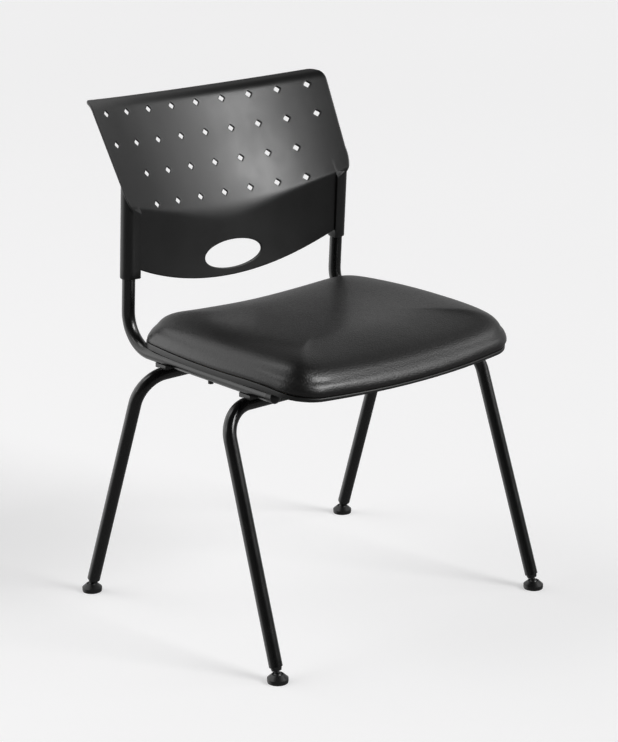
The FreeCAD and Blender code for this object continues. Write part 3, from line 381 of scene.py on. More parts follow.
def eased(corners, steps=6):
    """An outline through corners of (point, radius), each rounded to its radius."""
    points = []
    for number, (corner, radius) in enumerate(corners):
        here = Vector(corner)
        if radius == 0:
            points.append(here)
            continue
        before = (Vector(corners[number - 1][0]) - here).normalized()
        after = (Vector(corners[(number + 1) % len(corners)][0]) - here).normalized()
        half = before.angle(after) / 2
        centre = here + (before + after).normalized() * radius / math.sin(half)
        start = here + before * radius / math.tan(half) - centre
        finish = here + after * radius / math.tan(half) - centre
        sweep = math.pi - 2 * half
        for step in range(steps + 1):
            share = step / steps
            first = math.sin((1 - share) * sweep) / math.sin(sweep)
            second = math.sin(share * sweep) / math.sin(sweep)
            points.append(centre + start * first + finish * second)
    return points


def skinned(rings):
    """Faces between rings of point numbers, laid side by side."""
    faces = []
    for low, high in zip(rings, rings[1:]):
        for step in range(len(low)):
            after = (step + 1) % len(low)
            face = list(dict.fromkeys((low[step], low[after], high[after], high[step])))
            if len(face) > 2:
                faces.append(face)
    return faces


def capped(rings):
    """Faces between rings, with a lid on each end."""
    return skinned(rings) + [rings[0][::-1], rings[-1]]


def turned(name, outline, spot, slot, tilt, turns=64):
    """A piece spun from an outline of (radius, height) about an axis through a spot."""
    points = []
    rings = []
    for radius, height in outline:
        first = len(points)
        if radius < 0.001:
            points.append(Vector((0, 0, height)))
            rings.append([first] * turns)
            continue
        for step in range(turns):
            angle = 2 * math.pi * step / turns
            points.append(Vector((radius * math.cos(angle), radius * math.sin(angle), height)))
        rings.append(list(range(first, first + turns)))
    points = [Vector(spot) + tilt @ point for point in points]
    return piece(name, points, skinned(rings), slot)


def booleaned(obj, operation, *tools):
    """Join or cut closed meshes for good, then drop the tools."""
    for tool in tools:
        change = obj.modifiers.new("join", "BOOLEAN")
        change.operation = operation
        change.solver = "EXACT"
        change.object = tool
        tool.hide_render = True
    baked(obj)
    for tool in tools:
        bpy.data.objects.remove(tool)


def baked(obj):
    """Apply every modifier of an object to its mesh."""
    bpy.context.view_layer.update()
    graph = bpy.context.evaluated_depsgraph_get()
    mesh = bpy.data.meshes.new_from_object(obj.evaluated_get(graph), depsgraph=graph)
    obj.modifiers.clear()
    obj.data = mesh


# ---- backrest
def upright_y(height):
    return UPRIGHT_BASE - (height - RAIL_Z) * math.tan(UPRIGHT_LEAN)


def plan_depth(radius, across):
    return radius - math.sqrt(radius * radius - across * across)


def droop(across):
    """How much lower the top edge is than at its middle."""
    return LIP_DROOP * (across / 200.0) ** 2


def rearward(way):
    """The normal of a side-view direction that points to the rear."""
    return Vector((way.y, -way.x))


def meeting(point, way, other, other_way):
    normal = rearward(other_way)
    return point + way * ((other - point).dot(normal) / way.dot(normal))


class Profile:
    """Side view of the backrest's face, as (y, z), at one distance from the middle."""

    def __init__(self, across):
        upper = []
        for height, radius in UPPER_PLANS:
            middle = UPPER_MIDDLE[0] + (height - UPPER_MIDDLE[1]) * SLOPE
            upper.append(Vector((middle - plan_depth(radius, across), height)))
        lower = []
        for height, middle in LOWER_MIDDLES:
            sleeve = upright_y(height) - SLEEVE + 0.6
            lower.append(Vector((middle - (middle - sleeve) * (across / RAIL_X) ** 2, height)))
        self.low = (lower[1] - lower[0]).normalized()
        self.up = (upper[1] - upper[0]).normalized()
        self.bottom = lower[0]
        fold = meeting(lower[0], self.low, upper[0], self.up)
        self.turn = self.low.angle(self.up)
        self.fold = FOLD_RADIUS + FOLD_SOFTENING * math.exp(-((across / FOLD_SPREAD) ** 2))
        reach = self.fold * math.tan(self.turn / 2)
        self.fold_start = (fold - lower[0]).length - reach
        self.fold_end = self.fold_start + self.fold * self.turn
        self.rise = fold + self.up * reach
        slope_up = Vector((SLOPE, 1)).normalized()
        climb = LIP_START - droop(across) - self.rise.dot(slope_up)
        self.lip_start = self.fold_end + climb / self.up.dot(slope_up)
        self.lip_end = self.lip_start + LIP_RADIUS * LIP_TURN
        self.length = self.lip_end + LIP_FLAT

    def rounded(self, start, way, radius, angle, depth):
        centre = start + rearward(way) * radius
        return centre + (way * math.sin(angle) - rearward(way) * math.cos(angle)) * (radius - depth)

    def at(self, along, depth=0.0):
        """A point at a length along the face and a depth behind it."""
        fold = self.bottom + self.low * self.fold_start
        if along <= self.fold_start:
            return self.bottom + self.low * along + rearward(self.low) * depth
        if along <= self.fold_end:
            angle = (along - self.fold_start) / self.fold
            return self.rounded(fold, self.low, self.fold, angle, depth)
        if along <= self.lip_start:
            return self.rise + self.up * (along - self.fold_end) + rearward(self.up) * depth
        start = self.rise + self.up * (self.lip_start - self.fold_end)
        angle = min((along - self.lip_start) / LIP_RADIUS, LIP_TURN)
        point = self.rounded(start, self.up, LIP_RADIUS, angle, depth)
        way = self.up * math.cos(LIP_TURN) + rearward(self.up) * math.sin(LIP_TURN)
        return point + way * max(along - self.lip_end, 0)

    def along(self, measure, value):
        """The length at which a measure of the face's point reaches a value."""
        low, high = -20.0, self.length + 20.0
        for _ in range(40):
            middle = (low + high) / 2
            if measure(self.at(middle)) < value:
                low = middle
            else:
                high = middle
        return low


def on_sheet(across, value, slope=False):
    """Flat coordinates of a point of the face given by its height, or by its climb up the slope."""
    up = Vector((SLOPE, 1)).normalized()
    measure = (lambda point: point.dot(up)) if slope else (lambda point: point.y)
    return Vector((across, Profile(across).along(measure, value)))


def sheet_outline():
    """Outline of the backrest on its own unrolled face."""
    half = SHELL_HALF
    corner = SHELL_CORNER
    low = WING_LOW
    foot = WING_FOOT
    belly = (foot + low) / 2 + Vector((low.y - foot.y, foot.x - low.x)) * WING_BELLY
    right = []
    for step in range(41):
        share = step / 40
        climb = (SKIRT_SIDE - SKIRT_MIDDLE) * (0.94 * share ** 2 + 0.06 * share ** 4)
        right.append(on_sheet(SKIRT_HALF * share, SKIRT_MIDDLE + climb))
    for height in range(520, 600, 4):
        right.append(on_sheet(FLANK_HALF, height))
    for step in range(1, 14):
        share = step / 14
        pull = (belly * 2 - (foot + low) / 2) * 2 * share * (1 - share)
        point = foot * (1 - share) ** 2 + pull + low * share ** 2
        right.append(on_sheet(point.x, point.y))
    top = Profile(half - corner).length
    end = Profile(half - corner).at(top).y
    turn_z = end - corner
    slant = (half - low.x) / (Profile(half).at(Profile(half).length).y - low.y)
    steps = 30
    for step in range(steps):
        height = low.y + (turn_z - low.y) * step / steps
        right.append(on_sheet(low.x + (height - low.y) * slant, height))
    turn_x = low.x + (turn_z - low.y) * slant
    start = on_sheet(turn_x, turn_z)
    finish = Vector((turn_x - corner, Profile(turn_x - corner).length))
    peak = Vector((start.x, finish.y))
    for step in range(9):
        share = step / 8
        right.append(start * (1 - share) ** 2 + peak * 2 * share * (1 - share) + finish * share ** 2)
    for step in range(1, 60):
        across = finish.x * (1 - step / 60)
        right.append(Vector((across, Profile(across).length)))
    right.append(Vector((0, Profile(0).length)))
    left = [Vector((-point.x, point.y)) for point in right[-2:0:-1]]
    return even(right + left, 3.0)


def even(outline, pitch):
    """A closed outline with its points spread evenly."""
    spans = [(b - a).length for a, b in zip(outline, outline[1:] + outline[:1])]
    total = sum(spans)
    count = round(total / pitch)
    result = []
    number = 0
    passed = 0.0
    for step in range(count):
        goal = total * step / count
        while passed + spans[number] < goal:
            passed += spans[number]
            number += 1
        share = (goal - passed) / spans[number]
        result.append(outline[number].lerp(outline[(number + 1) % len(outline)], share))
    return result


def diamond_outline(across, climb):
    """A rounded square standing on its corner."""
    half = HOLE_WIDTH / math.sqrt(2)
    ways = ((0, -1), (1, 0), (0, 1), (-1, 0))
    corners = [(Vector((across + x * half, climb + z * half)), HOLE_ROUNDING) for x, z in ways]
    outline = eased(corners, steps=4)
    return [on_sheet(point.x, point.y, slope=True) for point in outline]


def grip_outline():
    """The hand hole, an oval on the lower panel."""
    points = []
    for step in range(96):
        angle = 2 * math.pi * step / 96
        points.append(on_sheet(GRIP_WIDTH / 2 * math.cos(angle), GRIP_Z + GRIP_HEIGHT / 2 * math.sin(angle)))
    return points


def offset(outline, distance):
    """A closed outline moved to its left-hand side by a distance."""
    moved = []
    for number, point in enumerate(outline):
        way = outline[(number + 1) % len(outline)] - outline[number - 1]
        moved.append(point + Vector((-way.y, way.x)).normalized() * distance)
    return moved


def inside(point, outline):
    """True where a point is within a closed outline."""
    within = False
    for a, b in zip(outline, outline[1:] + outline[:1]):
        if (a.y > point.y) != (b.y > point.y):
            if point.x < a.x + (point.y - a.y) / (b.y - a.y) * (b.x - a.x):
                within = not within
    return within


def boxed(outlines):
    """Each outline with the box round it."""
    result = []
    for outline in outlines:
        xs = [point.x for point in outline]
        ys = [point.y for point in outline]
        result.append((min(xs), max(xs), min(ys), max(ys), outline))
    return result


def within_any(spot, boxes):
    """True where a point is within one of the boxed outlines."""
    for left, right, low, high, outline in boxes:
        if left < spot.x < right and low < spot.y < high and inside(spot, outline):
            return True
    return False


def counterclockwise(outline):
    area = sum(a.cross(b) for a, b in zip(outline, outline[1:] + outline[:1]))
    return outline if area > 0 else outline[::-1]


def panel_loops():
    """The outline and the holes, each with its edge rounding, as (outline, rounding, side)."""
    loops = [(counterclockwise(sheet_outline()), 1.3, 1)]
    loops.append((counterclockwise(grip_outline()), 1.5, -1))
    for row, half_count in enumerate(HOLE_ROWS):
        for step in range(-half_count, half_count + 1):
            across = step * HOLE_PITCH
            climb = TOP_ROW_CLIMB - row * HOLE_PITCH - droop(across)
            loops.append((counterclockwise(diamond_outline(across, climb)), 1.0, -1))
    return loops


def panel():
    """The backrest's wall: a curved sheet with rounded edges, holes and a rolled top."""
    loops = panel_loops()
    points = []
    depths = []
    ties = []
    rims = []
    guards = []
    for outline, rounding, side in loops:
        for angle in (0, 30, 60, 90, None):
            if angle is None:
                inset, depth = rounding + 1.6, 0.0
            else:
                inset = rounding * (1 - math.cos(math.radians(angle)))
                depth = rounding * (1 - math.sin(math.radians(angle)))
            ring = offset(outline, inset * side)
            first = len(points)
            points += ring
            depths += [depth] * len(ring)
            numbers = list(range(first, first + len(ring)))
            ties += list(zip(numbers, numbers[1:] + numbers[:1]))
            if angle == 0:
                rims.append(numbers)
            if angle is None:
                guards.append(offset(outline, (inset + 1.5) * side))
    outer = guards[0]
    kept_clear = boxed(guards[1:])
    for column in range(-39, 40):
        across = column * 5.9
        profile = Profile(across)
        rows = [profile.fold_start - 5.5 * step for step in range(1, 28)]
        bend = profile.fold_end - profile.fold_start
        bends = max(6, round(bend / 4.5))
        rows += [profile.fold_start + bend * step / bends for step in range(bends + 1)]
        face = profile.lip_start - profile.fold_end
        rows += [profile.fold_end + face * step / 34 for step in range(1, 34)]
        rows += [profile.lip_start + (profile.lip_end - profile.lip_start) * step / 8 for step in range(9)]
        rows += [profile.lip_end + 3.6, profile.lip_end + 7.2]
        for along in rows:
            spot = Vector((across, along))
            if inside(spot, outer) and not within_any(spot, kept_clear):
                points.append(spot)
                depths.append(0.0)
    verts, _, faces, origins, _, _ = delaunay_2d_cdt(points, ties, [], 0, 0.0001)
    holes = boxed([outline for outline, _, side in loops if side < 0])
    kept = []
    for face in faces:
        middle = sum((verts[number] for number in face), Vector((0, 0))) / len(face)
        if inside(middle, loops[0][0]) and not within_any(middle, holes):
            kept.append(list(face))
    front = []
    back = []
    number_of = {}
    profiles = {}
    for number, (vert, origin) in enumerate(zip(verts, origins)):
        depth = max((depths[index] for index in origin), default=0.0)
        for index in origin:
            number_of[index] = number
        key = round(vert.x, 4)
        if key not in profiles:
            profiles[key] = Profile(vert.x)
        for side, deep in ((front, depth), (back, WALL - depth)):
            spot = profiles[key].at(vert.y, deep)
            side.append(Vector((vert.x, spot.x, spot.y)))
    shift = len(front)
    walls = kept + [[number + shift for number in face[::-1]] for face in kept]
    for rim in rims:
        for a, b in zip(rim, rim[1:] + rim[:1]):
            one, two = number_of[a], number_of[b]
            walls.append([one, two, two + shift, one + shift])
    used = sorted({number for face in walls for number in face})
    renumbered = {number: place for place, number in enumerate(used)}
    points = front + back
    faces = [[renumbered[number] for number in face] for face in walls]
    return piece("backrest", [points[number] for number in used], faces, "shell_plastic")


BACKWARDS = Matrix.Rotation(-math.pi / 2, 3, "X")  # turns +Z to the rear
UPRIGHT_TILT = Matrix.Rotation(UPRIGHT_LEAN, 3, "X")


def sleeve(side):
    """Sleeve over an upright: round, and squared to the panel's face on its inner front quarter."""
    flip = SIDES[side]
    section = []
    for step in range(73):
        angle = math.pi * 1.5 * step / 72 - math.pi / 2
        section.append(Vector((SLEEVE * math.cos(angle), SLEEVE * math.sin(angle))))
    section.append(Vector((-SLEEVE, 0.6 - SLEEVE)))
    section.append(Vector((-SLEEVE + 0.2, 0.2 - SLEEVE)))
    section.append(Vector((-SLEEVE + 0.6, -SLEEVE)))
    height = SLEEVE_TOP - SLEEVE_BOTTOM
    levels = [(0.0, 1.0), (0.3, 0.4), (1.0, 0.0)]
    levels += [(height * step / 12, 0.0) for step in range(1, 13)]
    points = []
    rings = []
    for level, inset in levels:
        shrink = 1 - inset / SLEEVE
        rings.append(list(range(len(points), len(points) + len(section))))
        points += [Vector((point.x * shrink * flip, point.y * shrink, level)) for point in section]
    spot = Vector((flip * RAIL_X, upright_y(SLEEVE_BOTTOM), SLEEVE_BOTTOM))
    points = [spot + UPRIGHT_TILT @ point for point in points]
    obj = piece(side + "_sleeve", points, capped(rings), "shell_plastic")
    cut_ahead(obj, side)
    return obj


def cut_ahead(obj, side):
    """Trim what stands ahead of the upper panel's face."""
    flip = SIDES[side]
    near, far = Profile(RAIL_X - TUBE), Profile(RAIL_X + TUBE)
    middle = Profile(RAIL_X)
    across = Vector((2 * TUBE * flip, far.rise.x - near.rise.x, 0))
    up = Vector((0, middle.up.x, middle.up.y))
    forward = across.cross(up).normalized()
    if forward.y > 0:
        forward = -forward
    spot = Vector((flip * RAIL_X, middle.rise.x, middle.rise.y)) - forward * FACE_CLEARANCE
    shape = bmesh.new()
    shape.from_mesh(obj.data)
    cut = bmesh.ops.bisect_plane(shape, geom=shape.verts[:] + shape.edges[:] + shape.faces[:],
                                 plane_co=placed(spot), plane_no=forward, clear_outer=True)
    rim = [item for item in cut["geom_cut"] if isinstance(item, bmesh.types.BMEdge)]
    bmesh.ops.edgenet_fill(shape, edges=rim)
    bmesh.ops.recalc_face_normals(shape, faces=shape.faces)
    shape.to_mesh(obj.data)
    shape.free()


def backrest():
    """The whole moulding: panel, sleeves, bores and screw recesses."""
    shell = panel()
    booleaned(shell, "UNION", *(sleeve(side) for side in SIDES))
    tools = []
    for side, flip in SIDES.items():
        start = SLEEVE_BOTTOM - 20
        height = (UPRIGHT_TOP - start) / math.cos(UPRIGHT_LEAN) + BORE_CLEARANCE
        spot = Vector((flip * RAIL_X, upright_y(start), start))
        bore = TUBE + BORE_CLEARANCE
        outline = [(0, 0), (bore, 0), (bore, height), (0, height)]
        tools.append(turned("bore", outline, spot, "shell_plastic", UPRIGHT_TILT, turns=72))
        spot = Vector((flip * RAIL_X, upright_y(SCREW_Z), SCREW_Z))
        shank, head, seat = 2.2, 4.55, 11.7
        recess = [(0, 4), (shank, 4), (shank, seat), (head, seat), (head, 20), (0, 20)]
        tools.append(turned("recess", recess, spot, "shell_plastic", BACKWARDS, turns=40))
    booleaned(shell, "DIFFERENCE", *tools)
    smooth(shell, 32)
    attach(shell, "chair")
    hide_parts("backrest_shell")


# ---- seat
def three_point_circle(a, b, c):
    """Centre and radius of the circle through three points."""
    d = 2 * (a.x * (b.y - c.y) + b.x * (c.y - a.y) + c.x * (a.y - b.y))
    sa, sb, sc = a.length_squared, b.length_squared, c.length_squared
    centre = Vector(((sa * (b.y - c.y) + sb * (c.y - a.y) + sc * (a.y - b.y)) / d,
                     (sa * (c.x - b.x) + sb * (a.x - c.x) + sc * (b.x - a.x)) / d))
    return centre, (a - centre).length


def arc(centre, radius, start, finish, steps):
    """Points from one angle to another, without the last."""
    return [(centre, radius, start + (finish - start) * step / steps) for step in range(steps)]


def seat_arcs():
    """The right-hand half of the seat's outline as (centre, radius, angle) marks, rear to front."""
    rear_y = SEAT_BACK - SEAT_BACK_CORNER
    front_y = SEAT_FRONT + SEAT_FRONT_CORNER
    side_centre, side_radius = three_point_circle(
        Vector((SEAT_BACK_HALF, rear_y)), Vector((SEAT_MIDDLE_HALF, (rear_y + front_y) / 2)),
        Vector((SEAT_FRONT_HALF, front_y)))
    bowed = Vector((SEAT_FRONT_HALF, SEAT_FRONT + SEAT_BOW))
    mirrored = Vector((-bowed.x, bowed.y))
    front_centre, front_radius = three_point_circle(mirrored, Vector((0, SEAT_FRONT)), bowed)
    reach = side_radius - SEAT_BACK_CORNER
    rear_corner = Vector((side_centre.x + math.sqrt(reach ** 2 - (rear_y - side_centre.y) ** 2), rear_y))
    corner = crossing(side_centre, side_radius - SEAT_FRONT_CORNER,
                      front_centre, front_radius - SEAT_FRONT_CORNER)
    side_start = angle_of(rear_corner - side_centre)
    side_end = angle_of(corner - side_centre)
    front_start = angle_of(corner - front_centre)
    marks = arc(rear_corner, SEAT_BACK_CORNER, math.pi / 2, side_start, 18)
    marks += arc(side_centre, side_radius, side_start, side_end, 34)
    marks += arc(corner, SEAT_FRONT_CORNER, side_end, front_start, 18)
    marks += arc(front_centre, front_radius, front_start, -math.pi / 2, 24)
    return rear_corner.x, marks


def angle_of(way):
    return math.atan2(way.y, way.x)


def crossing(first, first_radius, second, second_radius):
    """The crossing of two circles that lies in the front left quarter of the plan."""
    line = second - first
    gap = line.length
    along = (first_radius ** 2 - second_radius ** 2 + gap ** 2) / (2 * gap)
    aside = math.sqrt(first_radius ** 2 - along ** 2)
    way = line / gap
    foot = first + way * along
    side = Vector((-way.y, way.x)) * aside
    return max((foot + side, foot - side), key=lambda point: point.x - point.y)


REAR_FLAT, SEAT_MARKS = seat_arcs()


def seat_ring(inset):
    """Plan of the seat's outline, moved in by an inset."""
    right = [Vector((REAR_FLAT * step / 24, SEAT_BACK - inset)) for step in range(1, 24)]
    for centre, radius, angle in SEAT_MARKS:
        right.append(centre + Vector((math.cos(angle), math.sin(angle))) * (radius - inset))
    left = [Vector((-point.x, point.y)) for point in right[::-1]]
    return [Vector((0, SEAT_BACK - inset))] + right + [Vector((0, SEAT_FRONT + inset))] + left


def fall(along, dip_radius):
    """How far a surface of the seat lies below its level part."""
    if along > TAIL_START:
        return (along - TAIL_START) ** 2 / (2 * TAIL_RADIUS)
    if along < DIP_START:
        return (along - DIP_START) ** 2 / (2 * dip_radius)
    return 0.0


def seam(height):
    return lambda spot: SEAM_Z + height - fall(spot.y, DIP_RADIUS)


def tray(height):
    return lambda spot: SEAM_Z + height - fall(spot.y, TRAY_DIP_RADIUS)


CORE_INSET = 46.0
PLAN_CENTRE = Vector((0.0, -30.0))


def core_rings(count):
    """Rings from the innermost outline to a point, as scaled copies."""
    ring = seat_ring(CORE_INSET)
    return [[PLAN_CENTRE + (spot - PLAN_CENTRE) * (1 - step / count) for spot in ring]
            for step in range(1, count)]


def layered(name, section, slot, core_steps=16):
    """A closed seat piece: a section of (inset, surface) marks with a core below and above."""
    points = []
    rings = []

    def add(ring, surface):
        rings.append(list(range(len(points), len(points) + len(ring))))
        points.extend(Vector((spot.x, spot.y, surface(spot))) for spot in ring)

    low = section[0][1]
    high = section[-1][1]
    points.append(Vector((PLAN_CENTRE.x, PLAN_CENTRE.y, low(PLAN_CENTRE))))
    rings.append([0] * len(seat_ring(0)))
    for ring in core_rings(core_steps)[::-1]:
        add(ring, low)
    for inset, surface in section:
        add(seat_ring(inset), surface)
    for ring in core_rings(core_steps):
        add(ring, high)
    rings.append([len(points)] * len(seat_ring(0)))
    points.append(Vector((PLAN_CENTRE.x, PLAN_CENTRE.y, high(PLAN_CENTRE))))
    return piece(name, points, skinned(rings), slot)


def seat_tray():
    """Moulded tray under the cushion, with eased edges and room for the rails."""
    rim_low, rim_high, floor_low, floor_high = -9.4, 0.0, -9.0, -6.0
    section = [(CORE_INSET, tray(floor_low)), (24.0, tray(floor_low)), (3.2, tray(floor_low))]
    lower_edge = ((2.6, 0.0), (1.5, 0.0), (0.7, 0.3), (0.2, 0.9), (0.0, 1.8))
    section += [(inset, tray(rim_low + rise)) for inset, rise in lower_edge]
    lip = ((0.0, 1.4), (0.15, 0.6), (0.6, 0.1), (1.2, 0.0), (2.0, 0.0), (2.8, 0.2), (3.0, 0.8))
    section += [(inset, seam(rim_high - drop)) for inset, drop in lip]
    well = ((3.0, 1.0), (3.3, 0.3), (4.0, 0.0), (24.0, 0.0), (CORE_INSET, 0.0))
    section += [(inset, tray(floor_high + rise)) for inset, rise in well]
    pan = layered("seat_tray", section, "pan_plastic")
    booleaned(pan, "DIFFERENCE", *(rail_room(side) for side in SIDES))
    smooth(pan, 35)
    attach(pan, "chair")
    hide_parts("seat_pan")


def rail_line():
    """Side view of a rail, its plug and its upright as (point, direction) marks."""
    start = RAIL_FRONT - PLUG_REACH
    bend = Vector((UPRIGHT_BASE - RAIL_BEND * math.tan((math.pi / 2 + UPRIGHT_LEAN) / 2), RAIL_Z))
    marks = [(Vector((start, RAIL_Z)), Vector((1, 0))), (bend, Vector((1, 0)))]
    steps = 28
    for step in range(1, steps + 1):
        angle = (math.pi / 2 + UPRIGHT_LEAN) * step / steps
        centre = bend + Vector((0, RAIL_BEND))
        spoke = Vector((math.sin(angle), -math.cos(angle)))
        marks.append((centre + spoke * RAIL_BEND, Vector((math.cos(angle), math.sin(angle)))))
    top = Vector((upright_y(UPRIGHT_TOP), UPRIGHT_TOP))
    marks.append((top, marks[-1][1]))
    return marks


def rail_room(side):
    """Clearance for a rail and its plug: a solid round bar along their middle line."""
    across = SIDES[side] * RAIL_X
    radius = TUBE + RAIL_CLEARANCE
    turns = 56
    points = []
    rings = []
    for spot, way in rail_line():
        normal = Vector((-way.y, way.x))
        rings.append(list(range(len(points), len(points) + turns)))
        for step in range(turns):
            angle = 2 * math.pi * step / turns
            flat = spot + normal * radius * math.cos(angle)
            points.append(Vector((across + radius * math.sin(angle), flat.x, flat.y)))
    return piece("rail_room", points, capped(rings), "pan_plastic")


# the rounding of the cushion's top edge is wider than it is tall
ROUNDING_WIDE = 39.0
ROUNDING_TALL = 33.0
CUSHION_HEIGHT = 45.0
# a hollow in the middle, shallower towards the front, and fuller front corners
HOLLOW_DEPTH = 11.5
HOLLOW_HALF = 190.0
HOLLOW_FRONT = -250.0
HOLLOW_REACH = 330.0
FULL_CORNER = (120.0, -90.0)
# where the side swells or draws in, and by how much
SWELLINGS = (((205.0, -205.0), 6.5), ((190.0, 150.0), -5.0))
SWELLING_SPREAD = 75.0
# the hips are softened from this height over the seam, fully after the reach
SOFT_FROM = 9.0
SOFT_REACH = 16.0


def fullness(spot):
    """Height of the cushion over its seam where its top is not rounded off."""
    across = min(abs(spot.x) / HOLLOW_HALF, 1.0)
    rear = min(max((spot.y - HOLLOW_FRONT) / HOLLOW_REACH, 0.3), 1.0)
    corner = max(abs(spot.x) - FULL_CORNER[0], 0.0) * max(FULL_CORNER[1] - spot.y, 0.0) / 4500.0
    return CUSHION_HEIGHT - HOLLOW_DEPTH * (1 - across ** 2) * rear + corner


def swelling(spot):
    """How far the cushion's side stands out of the seam: full in front and drawn in behind."""
    out = 0.0
    for corner, amount in SWELLINGS:
        gap = (Vector((abs(spot.x), spot.y)) - Vector(corner)).length
        out += amount * math.exp(-((gap / SWELLING_SPREAD) ** 2))
    return out + 1.0


def cushion_blank():
    """The cushion before it is filled: a closed form with a tucked edge."""
    underside = 5.2
    section = [(inset, tray(underside)) for inset in (CORE_INSET, 20.0, 6.4)]
    tuck = ((4.4, 0.3), (2.8, 0.15), (1.8, 0.35), (1.1, 1.2), (0.6, 2.8), (0.3, 5.0), (0.1, 8.0))
    section += [(inset, seam(height)) for inset, height in tuck]
    for step in range(1, 15):
        angle = math.pi / 2 * step / 14
        section.append((ROUNDING_WIDE * (1 - math.cos(angle)), rounded_top(angle)))
    section += [(CORE_INSET, cushion_top)]
    pad = layered("cushion", section, "seat_cover", core_steps=26)
    centre = placed((PLAN_CENTRE.x, PLAN_CENTRE.y, 0))
    for vert in pad.data.vertices:
        spot = plan_of(vert.co)
        rise = vert.co.z / MM - seam(0.0)(spot)
        share = math.sin(math.pi * min(max((rise - 1.5) / 36.0, 0.0), 0.72))
        away = (vert.co - centre).to_2d()
        reach = min(away.length / 0.12, 1.0)
        vert.co += (away.normalized() * swelling(spot) * share * reach * MM).to_3d()
    return pad


def rounded_top(angle):
    """The cushion's surface at an angle of its edge rounding."""
    return lambda spot: seam(fullness(spot) - ROUNDING_TALL * (1 - math.sin(angle)))(spot)


def cushion_top(spot):
    return seam(fullness(spot))(spot)


def evened(mesh, values, rounds):
    """Each vertex's value averaged with its neighbours' a number of times."""
    for _ in range(rounds):
        sums = [value.copy() for value in values]
        counts = [1] * len(values)
        for edge in mesh.edges:
            one, two = edge.vertices
            sums[one] += values[two]
            sums[two] += values[one]
            counts[one] += 1
            counts[two] += 1
        values = [total / count for total, count in zip(sums, counts)]
    return values


def relaxed(pad, rounds=50):
    """Soften the hips that the rounding leaves at the corners, above the sides."""
    eased_spots = evened(pad.data, [vert.co.copy() for vert in pad.data.vertices], rounds)
    for vert, spot in zip(pad.data.vertices, eased_spots):
        rise = vert.co.z / MM - seam(0.0)(plan_of(vert.co))
        share = min(max((rise - SOFT_FROM) / SOFT_REACH, 0.0), 1.0)
        vert.co = vert.co.lerp(spot, share)


def filled(blank, pressure=4.0, cap=3.0):
    """Fill a closed form by cloth simulation and carry the swelling over to its clean mesh."""
    bag = bpy.data.objects.new("bag", blank.data.copy())
    bpy.context.scene.collection.objects.link(bag)
    remesh = bag.modifiers.new("remesh", "REMESH")
    remesh.mode = "VOXEL"
    remesh.voxel_size = 0.006
    baked(bag)
    rest = [vert.co.copy() for vert in bag.data.vertices]
    held = bag.vertex_groups.new(name="held")
    for vert in bag.data.vertices:
        if vert.co.z / MM < seam(6.0)(plan_of(vert.co)):
            held.add([vert.index], 1.0, "REPLACE")
    cloth = bag.modifiers.new("cloth", "CLOTH")
    cloth.settings.use_pressure = True
    cloth.settings.uniform_pressure_force = pressure
    cloth.settings.effector_weights.gravity = 0
    cloth.settings.vertex_group_mass = "held"
    cloth.settings.tension_stiffness = 30
    cloth.settings.compression_stiffness = 30
    cloth.settings.bending_stiffness = 2
    moments = 20
    cloth.point_cache.frame_end = moments
    scene = bpy.context.scene
    for moment in range(1, moments + 1):
        scene.frame_set(moment)
    graph = bpy.context.evaluated_depsgraph_get()
    swollen = [vert.co.copy() for vert in bag.evaluated_get(graph).data.vertices]
    scene.frame_set(1)
    tree = kdtree.KDTree(len(rest))
    for number, spot in enumerate(rest):
        tree.insert(spot, number)
    tree.balance()
    moves = []
    for vert in blank.data.vertices:
        total = Vector((0, 0, 0))
        weight = 0.0
        for spot, number, distance in tree.find_n(vert.co, 8):
            share = 1 / (distance + 0.002)
            total += (swollen[number] - rest[number]) * share
            weight += share
        move = total / weight
        limit = cap * MM
        moves.append(move * (limit * math.tanh(move.length / limit) / max(move.length, 1e-9)))
    moves = evened(blank.data, moves, 30)
    for vert, move in zip(blank.data.vertices, moves):
        rise = vert.co.z / MM - seam(2.0)(plan_of(vert.co))
        vert.co += move * min(max(rise / 10.0, 0), 1)
    bpy.data.objects.remove(bag)


def cushion():
    """Padded cushion under one stretched cover."""
    pad = cushion_blank()
    relaxed(pad)
    filled(pad)
    smooth(pad, 60)
    rounder = pad.modifiers.new("rounder", "SUBSURF")
    rounder.levels = 1
    rounder.render_levels = 1
    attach(pad, "chair")
    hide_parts("seat_cover", "seat_foam")


# ---- fasteners
def driver_cross(spot, tilt, reach, width, depth):
    """The cutter for a cross recess, its mouth at a spot and its point inwards."""
    points = []
    for level, share in ((1.0, 1.15), (-depth * 0.55, 0.9), (-depth, 0.35)):
        for number in range(4):
            turn = Matrix.Rotation(math.pi / 2 * number, 3, "Z")
            for x, y in ((width, -width), (reach * share, -width), (reach * share, width), (width, width)):
                points.append(Vector(spot) + tilt @ (turn @ Vector((x, y * min(share, 1.0), level))))
    rings = [list(range(16 * ring, 16 * ring + 16)) for ring in range(3)]
    return piece("cross", points, capped(rings), "screw_steel")


